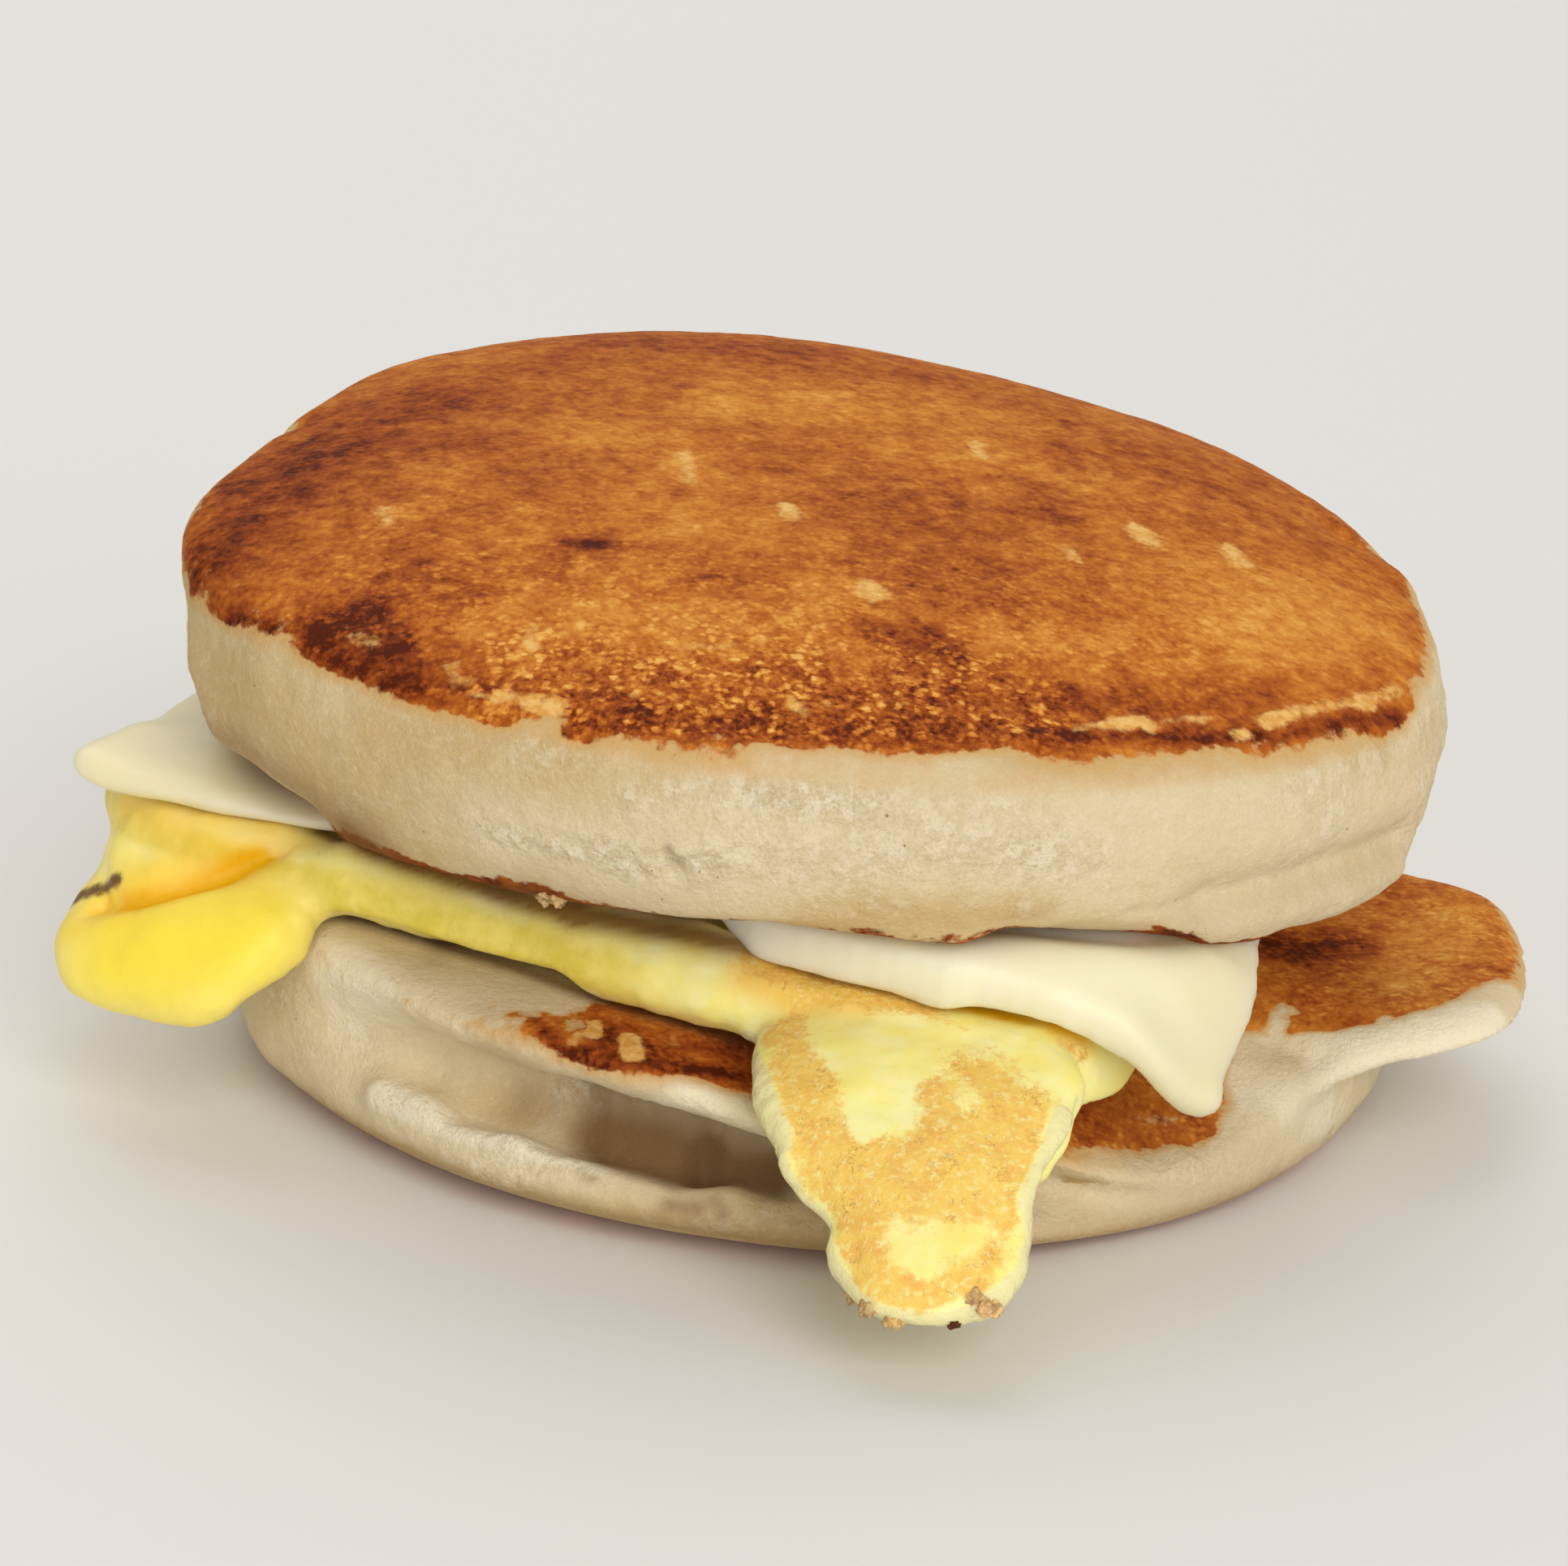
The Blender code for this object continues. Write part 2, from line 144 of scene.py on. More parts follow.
def treeOf(mesh):
    return BVHTree.FromPolygons([v.co for v in mesh.vertices], [p.vertices[:] for p in mesh.polygons])


def movePoints(mesh, points):
    mesh.vertices.foreach_set("co", points.ravel())
    mesh.update()


# Keeps named values for each point, which the materials read
def store(mesh, **fields):
    for name, values in fields.items():
        field = mesh.attributes.new(name, "FLOAT", "POINT")
        field.data.foreach_set("value", values.astype(np.float32))


# What counts as one point in metres, and as one flat face in radians
merging = {"gap": 1e-6, "bend": 0.6, "skew": 0.7}


# A CAD node's form as an even, smooth net of small squares
def evenSkin(node, name, settings):
    bm = bmesh.new()
    bm.from_mesh(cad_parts[node].data)
    bmesh.ops.remove_doubles(bm, verts=bm.verts, dist=merging["gap"])
    bmesh.ops.join_triangles(bm, faces=bm.faces, angle_face_threshold=merging["bend"],
                             angle_shape_threshold=merging["skew"])
    mesh = bpy.data.meshes.new(name)
    bm.to_mesh(mesh)
    bm.free()
    piece = bpy.data.objects.new(name, mesh)
    bpy.context.scene.collection.objects.link(piece)
    if settings["rounding"]:
        cage = piece.modifiers.new("rounding", "SUBSURF")
        cage.levels = cage.render_levels = settings["rounding"]
    net = piece.modifiers.new("net", "REMESH")
    net.mode = "VOXEL"
    net.voxel_size = settings["net"] * mm
    bpy.context.view_layer.update()
    netted = piece.evaluated_get(bpy.context.evaluated_depsgraph_get())
    even = bpy.data.meshes.new_from_object(netted)
    piece.modifiers.clear()
    piece.data = even
    even.name = name
    relax(even, settings["passes"])
    return piece


# Evens out a mesh by moving each point towards the middle of its neighbours
def relax(mesh, passes):
    bm = bmesh.new()
    bm.from_mesh(mesh)
    for _ in range(passes):
        bmesh.ops.smooth_vert(bm, verts=bm.verts, factor=0.5,
                              use_axis_x=True, use_axis_y=True, use_axis_z=True)
    bm.to_mesh(mesh)
    bm.free()
    mesh.update()


# Lumps and grain of a surface, in mm
def relief(points, settings):
    total = np.zeros(len(points))
    for seed, (size, height) in enumerate(settings["lumps"]):
        total += height * rough(points, size, seed + 1)
    size, height = settings["grain"]
    return total + height * rough(points, size, seed=9, octaves=2)


def finishPiece(piece, node, material):
    piece.data.shade_smooth()
    piece.data.materials.clear()
    piece.data.materials.append(material)
    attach(piece, "root")
    if node:
        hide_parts(node)


# Builds a node material step by step. Each step returns a socket that a later step can take. A
# look's grains are noise, as size in mm, detail, roughness and shift. Its ruffles are (amount, grain)
# pairs that shake a field's values, and its edges the values where a share is 0 and where it is 1.
class Recipe:
    def __init__(self, name, look):
        self.look = look
        self.material = bpy.data.materials.new(name)
        self.material.use_nodes = True
        self.tree = self.material.node_tree
        self.surface = self.tree.nodes["Principled BSDF"]
        self.place = self.tree.nodes.new("ShaderNodeTexCoord").outputs["Object"]
        self.grains = {grain: self.grain(*values) for grain, values in look.get("grains", {}).items()}
        for socket, value in look["surface"].items():
            self.surface.inputs[socket].default_value = value

    def feed(self, socket, value):
        if isinstance(value, bpy.types.NodeSocket):
            self.tree.links.new(value, socket)
        else:
            socket.default_value = value

    def grain(self, size, detail=3.0, roughness=0.55, shift=0.0):
        node = self.tree.nodes.new("ShaderNodeTexNoise")
        node.noise_dimensions = "4D"
        self.feed(node.inputs["Vector"], self.place)
        self.feed(node.inputs["W"], shift)
        self.feed(node.inputs["Scale"], 1.0 / (size * mm))
        self.feed(node.inputs["Detail"], detail)
        self.feed(node.inputs["Roughness"], roughness)
        return node.outputs["Fac"]

    # Cells of the given size in mm. Warp is how far, in mm, their outlines are pushed about.
    def cells(self, size, output="Distance", warp=0.0):
        place = self.place
        if warp:
            wave = self.tree.nodes.new("ShaderNodeTexNoise")
            self.feed(wave.inputs["Vector"], place)
            self.feed(wave.inputs["Scale"], 1.0 / (self.look["waveSize"] * mm))
            push = self.tree.nodes.new("ShaderNodeVectorMath")
            push.operation = "MULTIPLY_ADD"
            for socket, value in zip(push.inputs, (wave.outputs["Color"], (warp * mm,) * 3, place)):
                self.feed(socket, value)
            place = push.outputs[0]
        node = self.tree.nodes.new("ShaderNodeTexVoronoi")
        self.feed(node.inputs["Vector"], place)
        self.feed(node.inputs["Scale"], 1.0 / (size * mm))
        return node.outputs[output]

    def field(self, name):
        node = self.tree.nodes.new("ShaderNodeAttribute")
        node.attribute_name = name
        return node.outputs["Fac"]

    def calc(self, operation, *values):
        node = self.tree.nodes.new("ShaderNodeMath")
        node.operation = operation
        for socket, value in zip(node.inputs, values):
            self.feed(socket, value)
        return node.outputs[0]

    def plus(self, first, second):
        return self.calc("ADD", first, second)

    def minus(self, first, second):
        return self.calc("SUBTRACT", first, second)

    def times(self, first, second):
        return self.calc("MULTIPLY", first, second)

    # The value times the pair's first number, plus its second
    def scaled(self, value, pair):
        return self.calc("MULTIPLY_ADD", value, *pair)

    # Adds a grain that is centred on 0 and scaled by the amount
    def shaken(self, value, amount, grain):
        return self.plus(value, self.times(self.minus(self.grains[grain], 0.5), amount))

    def ruffled(self, value, name):
        for amount, grain in self.look["ruffles"][name]:
            value = self.shaken(value, amount, grain)
        return value

    def ragged(self, name):
        return self.ruffled(self.field(name), name)

    def between(self, value, low, high):
        node = self.tree.nodes.new("ShaderNodeMapRange")
        node.interpolation_type = "SMOOTHSTEP"
        for socket, given in zip(node.inputs, (value, low, high, 0.0, 1.0)):
            self.feed(socket, given)
        return node.outputs[0]

    def share(self, value, edge):
        return self.between(value, *self.look["edges"][edge])

    def raggedShare(self, name):
        return self.share(self.ragged(name), name)

    def patches(self, grain):
        return self.share(self.grains[grain], grain)

    def blend(self, share, first, second):
        node = self.tree.nodes.new("ShaderNodeMix")
        node.data_type = "RGBA"
        self.feed(node.inputs[0], share)
        for socket, colour in zip(node.inputs[6:8], (first, second)):
            self.feed(socket, colour if isinstance(colour, bpy.types.NodeSocket) else (*colour, 1.0))
        return node.outputs[2]

    def ramp(self, value, stops):
        node = self.tree.nodes.new("ShaderNodeValToRGB")
        node.color_ramp.interpolation = "B_SPLINE"
        for index, (place, colour) in enumerate(stops):
            if index > 1:
                node.color_ramp.elements.new(place)
            node.color_ramp.elements[index].position = place
            node.color_ramp.elements[index].color = (*colour, 1.0)
        self.feed(node.inputs[0], value)
        return node.outputs[0]

    # Bump from a height in mm
    def bump(self, height, strength):
        node = self.tree.nodes.new("ShaderNodeBump")
        self.feed(node.inputs["Height"], height)
        self.feed(node.inputs["Distance"], mm)
        self.feed(node.inputs["Strength"], strength)
        self.feed(self.surface.inputs["Normal"], node.outputs[0])


# Baked cake: pale crumb, and faces browned on a griddle. The point fields give where it is browned
# (mm inside the browned area), how dark, how full of bubbles, where it is pale or torn, and where
# shade is painted on, with a few brown specks.
griddleLook = {
    "surface": {
        "Subsurface Weight": 0.06,
        "Subsurface Scale": 0.0012,
        "Subsurface Radius": (1.0, 0.6, 0.35),
        "Specular IOR Level": 0.03,
    },
    "brownStops": (
        (0.00, (0.84, 0.46, 0.120)),
        (0.20, (0.73, 0.325, 0.055)),
        (0.40, (0.59, 0.205, 0.029)),
        (0.58, (0.455, 0.122, 0.016)),
        (0.75, (0.31, 0.064, 0.010)),
        (0.90, (0.170, 0.029, 0.006)),
        (1.00, (0.070, 0.012, 0.004)),
    ),
    "crumb": (0.72, 0.588, 0.375),
    "crumbTan": (0.59, 0.420, 0.200),
    "crumbWhite": (0.86, 0.76, 0.56),
    "crumbGold": (0.62, 0.35, 0.11),
    # Dark brown of the painted shade, and of a few brown specks
    "hollow": (0.19, 0.085, 0.026),
    "paleSpot": (0.80, 0.48, 0.16),
    "paleEdge": (0.68, 0.33, 0.07),
    "speck": (0.20, 0.10, 0.035),
    "bubbles": (     # size in mm, edges of the dots, how much lighter they are
        (0.68, (0.24, 0.60), 0.52),
        (1.4, (0.20, 0.46), 0.34),
    ),
    "bubbleChance": (0.10, 0.62),
    "bubbleContrast": 0.9,
    "bubbleScorch": 0.14,
    "bubbleRelief": 0.05,
    "waveSize": 0.8,
    "warp": 0.9,
    "speckSpacing": 2.6,
    "speckShare": 0.7,
    "fineShare": 0.30,
    "goldShare": 0.8,
    "crisp": (0.34, 0.16),            # how sharp the grit is: more where torn, and everywhere
    "crumbRelief": {"crumbFine": (0.16, 0.18), "crumbBroad": (0.45, 0.18)},     # the same, in mm
    "roughness": (-0.25, 0.85),       # change where browned, and of the crumb
    "bump": 0.9,
    "grains": {
        "broad": (3.2, 3),
        "fine": (0.8, 4, 0.6),
        "scorchBroad": (6.0, 4, 0.6, 1.3),
        "scorchPatch": (1.7, 4, 0.65, 2.1),
        "scorchFine": (0.55, 3, 0.6, 3.7),
        "bubbleGroup": (2.4, 3, 0.6, 9.5),
        "bubbleFine": (0.42, 3, 0.65, 10.4),
        "paleFine": (0.9, 4, 0.6, 11.3),
        "paleBroad": (2.2, 3, 0.6, 12.2),
        "spot": (0.7, 4, 0.6, 14.2),
        "tanBroad": (6.5, 5, 0.6, 4.4),
        "tanFine": (1.5, 3, 0.6, 15.1),
        "flake": (1.1, 4, 0.65, 5.2),
        "grit": (0.24, 3, 0.6, 13.1),
        "speck": (0.35,),
        "crumbFine": (0.35, 4, 0.7, 6.1),
        "crumbBroad": (1.0, 4, 0.65, 7.3),
        "crust": (0.5, 3, 0.6, 8.8),
    },
    "ruffles": {
        "browned": ((2.0, "broad"), (1.9, "fine")),
        "scorch": ((0.50, "scorchBroad"), (0.95, "scorchPatch"), (0.50, "scorchFine")),
        "pale": ((1.6, "paleFine"), (0.6, "paleBroad")),
        "tan": ((1.1, "tanBroad"), (0.4, "tanFine")),
        "rimward": ((2.0, "broad"), (1.2, "fine")),
        "speck": ((0.12, "speck"),),
        "crust": ((0.10, "crust"),),
    },
    "edges": {
        "browned": (-0.25, 0.35),
        "bubbleGroup": (0.36, 0.56),
        "pale": (0.30, 0.92),
        "spot": (0.40, 0.62),
        "tan": (0.0, 1.0),
        "white": (-0.15, -0.9),
        "flake": (0.47, 0.60),
        "fine": (0.52, 0.75),
        "gritWhite": (0.53, 0.64),
        "gritTan": (0.47, 0.36),
        "speck": (0.02, 0.05),
        "rimward": (-2.2, 0.1),
    },
}


def griddleMaterial(name, look):
    r = Recipe(name, look)
    isBrown = r.raggedShare("browned")
    # The browned colour, from golden to nearly black, with pale dots where bubbles broke
    bubbly = r.field("bubbles")
    bubbles = r.times(bubbly, r.patches("bubbleGroup"))
    scorch = r.shaken(r.ragged("scorch"), r.times(bubbly, look["bubbleContrast"]), "bubbleFine")
    for size, edge, amount in look["bubbles"]:
        dots = r.minus(1.0, r.between(r.cells(size, warp=look["warp"]), *edge))
        dots = r.times(dots, r.between(r.cells(size, "Color", look["warp"]), *look["bubbleChance"]))
        scorch = r.minus(scorch, r.times(r.times(dots, bubbles), amount))
    scorch = r.plus(scorch, r.times(bubbles, look["bubbleScorch"]))
    brown = r.ramp(scorch, look["brownStops"])
    spot = r.blend(r.patches("spot"), look["paleSpot"], look["paleEdge"])
    brown = r.blend(r.raggedShare("pale"), brown, spot)
    # The crumb's colour
    torn = r.field("torn")
    tan = r.ragged("tan")
    crumb = r.blend(r.share(tan, "tan"), look["crumb"], look["crumbTan"])
    # Negative tan gives whiter crumb; on the lower cake's lower lip this is painted highlight
    crumb = r.blend(r.share(tan, "white"), crumb, look["crumbWhite"])
    crumb = r.blend(r.times(torn, r.patches("flake")), crumb, look["crumbWhite"])
    crumb = r.blend(r.times(r.patches("fine"), look["fineShare"]), crumb, look["crumbWhite"])
    crisp = r.scaled(torn, look["crisp"])
    for edge, colour in (("gritWhite", "crumbWhite"), ("gritTan", "crumbTan")):
        crumb = r.blend(r.times(r.share(r.grains["grit"], edge), crisp), crumb, look[colour])
    specks = r.minus(1.0, r.share(r.ruffled(r.cells(look["speckSpacing"]), "speck"), "speck"))
    crumb = r.blend(r.times(specks, look["speckShare"]), crumb, look["speck"])
    crumb = r.blend(r.times(r.raggedShare("rimward"), look["goldShare"]), crumb, look["crumbGold"])
    # Painted shade, with a few brown specks, laid over crumb and crust
    colour = r.blend(r.field("hollow"), r.blend(isBrown, crumb, brown), look["hollow"])
    r.feed(r.surface.inputs["Base Color"], colour)
    r.feed(r.surface.inputs["Roughness"], r.scaled(isBrown, look["roughness"]))
    crumbRelief = 0.0
    for grain, heights in look["crumbRelief"].items():
        crumbRelief = r.shaken(crumbRelief, r.scaled(torn, heights), grain)
    brownRelief = r.ruffled(r.times(dots, look["bubbleRelief"]), "crust")
    spread = r.plus(r.times(isBrown, r.minus(brownRelief, crumbRelief)), crumbRelief)
    r.bump(spread, look["bump"])
    return r.material


# How a cake's flat faces are told from its wall
faceRule = {
    "sectors": 144,
    "middle": 25.0,             # mm round the axis where the face's plane is measured
    "facing": 0.8,              # least upright part of a flat point's normal
    "turning": 0.35,            # the same where the wall begins
    "rimBand": 1.5,             # mm inside the rim where its height is measured
    "deepFade": (0.4, 1.0),     # mm above and below the face's greatest depth
}


# How far each point lies inside a cake's flat face, in mm. On the wall it is minus the drop from
# the face's rim. The side is 1 for the upper face and -1 for the underside. What lies more than the
# given mm below the face's middle belongs to the wall.
def insideFace(points, normals, side, deep):
    reach = np.hypot(points[:, 0], points[:, 1])
    turn = np.arctan2(points[:, 1], points[:, 0])
    sectors = faceRule["sectors"]
    sector = ((turn + math.pi) / (2 * math.pi) * sectors).astype(int) % sectors
    facing = side * normals[:, 2]
    flat = (reach < faceRule["middle"] * mm) & (facing > faceRule["facing"])
    ground = np.column_stack((points[:, :2], np.ones(len(points))))
    plane = np.linalg.lstsq(ground[flat], points[flat, 2], rcond=None)[0]
    below = side * (ground @ plane - points[:, 2]) / mm
    rim = np.zeros(sectors)
    height = np.zeros(sectors)
    for k in range(sectors):
        here = (sector == k) & (facing > faceRule["facing"]) & (below < deep)
        rim[k] = reach[here].max()
        height[k] = points[here & (reach > rim[k] - faceRule["rimBand"] * mm), 2].mean()
    middles = (np.arange(sectors) + 0.5) / sectors * 2 * math.pi - math.pi
    rim = np.interp(turn, middles, rim, period=2 * math.pi)
    height = np.interp(turn, middles, height, period=2 * math.pi)
    above, under = faceRule["deepFade"]
    share = smooth(facing, faceRule["turning"], faceRule["facing"])
    share = share * (1.0 - smooth(below, deep - above, deep + under))
    drop = np.maximum(side * (height - points[:, 2]), 0.0)
    return (share * (rim - reach) - (1.0 - share) * drop) / mm


# The part of a cake's net that is made finer: how many mm down the wall it reaches, how many mm in
# front of the axis it starts, and the least upright part of a face's normal
finerPart = {"wallDrop": 16.0, "front": 4.0, "facing": -0.75}


# Makes the net finer on the front of a wall and on a band inside its upper rim
def refineFront(mesh, inside, band):
    bm = bmesh.new()
    bm.from_mesh(mesh)
    bm.normal_update()
    chosen = set()
    for face in bm.faces:
        inBand = -finerPart["wallDrop"] < inside[face.verts[0].index] < band
        inFront = face.calc_center_median().y < -finerPart["front"] * mm
        if inBand and inFront and face.normal.z > finerPart["facing"]:
            chosen.update(face.edges)
    bmesh.ops.subdivide_edges(bm, edges=list(chosen), cuts=1, use_grid_fill=True)
    bm.to_mesh(mesh)
    bm.free()
    mesh.update()


# What both cakes' crumb has in common
cakeCrumb = {
    "patchSize": 9.0,           # mm
    "patchTorn": 0.35,          # how torn the patches are that lie all round
    "patchEdge": (0.0, 0.5),
    "faceRelief": 0.35,         # share of the lumps that the flat faces have
    "ridges": 2.2,              # how sharp the torn ridges are
}


# The net of a cake with its lumps, torn ridges and carved strokes. It returns the piece, the points
# as they were, their brush, how far each lies inside the upper and the lower face, and how torn it is.
def shapeCake(node, name, cake):
    piece = evenSkin(node, name, cake)
    mesh = piece.data
    tree = treeOf(mesh)
    refineFront(mesh, insideFace(pointsOf(mesh), normalsOf(mesh), 1, cake["deep"]), cake["finerBand"])
    relax(mesh, 1)
    points = pointsOf(mesh)
    normals = normalsOf(mesh)
    paint = brushFor(points, tree, cake)
    top = insideFace(points, normals, 1, cake["deep"])
    bottom = insideFace(points, normals, -1, cake["deep"])
    wall = smooth(-top, *cake["topEdge"]) * smooth(-bottom, *cake["bottomEdge"])
    patches = smooth(rough(points, cakeCrumb["patchSize"], cake["patchSeed"]), *cakeCrumb["patchEdge"])
    torn = np.clip((paint("torn") + cakeCrumb["patchTorn"] * patches) * wall, 0, 1)
    flat = cakeCrumb["faceRelief"]
    height = relief(points, cake) * (flat + (1.0 - flat) * wall)
    ridges = 1.0 - cakeCrumb["ridges"] * np.abs(rough(points, cake["tornSize"], cake["ridgeSeed"]))
    height += cake["tornHeight"] * torn * ridges
    height += paint("carved")
    if "flatFoot" in cake:
        height *= 1.0 - smooth(bottom, *cake["flatFoot"])
    moved = points + normals * height[:, None] * mm
    moved[:, 2] -= paint("lowered") * mm
    moved[:, 2] = np.maximum(moved[:, 2], 0.0)
    movePoints(mesh, moved)
    return piece, points, paint, top, bottom, torn


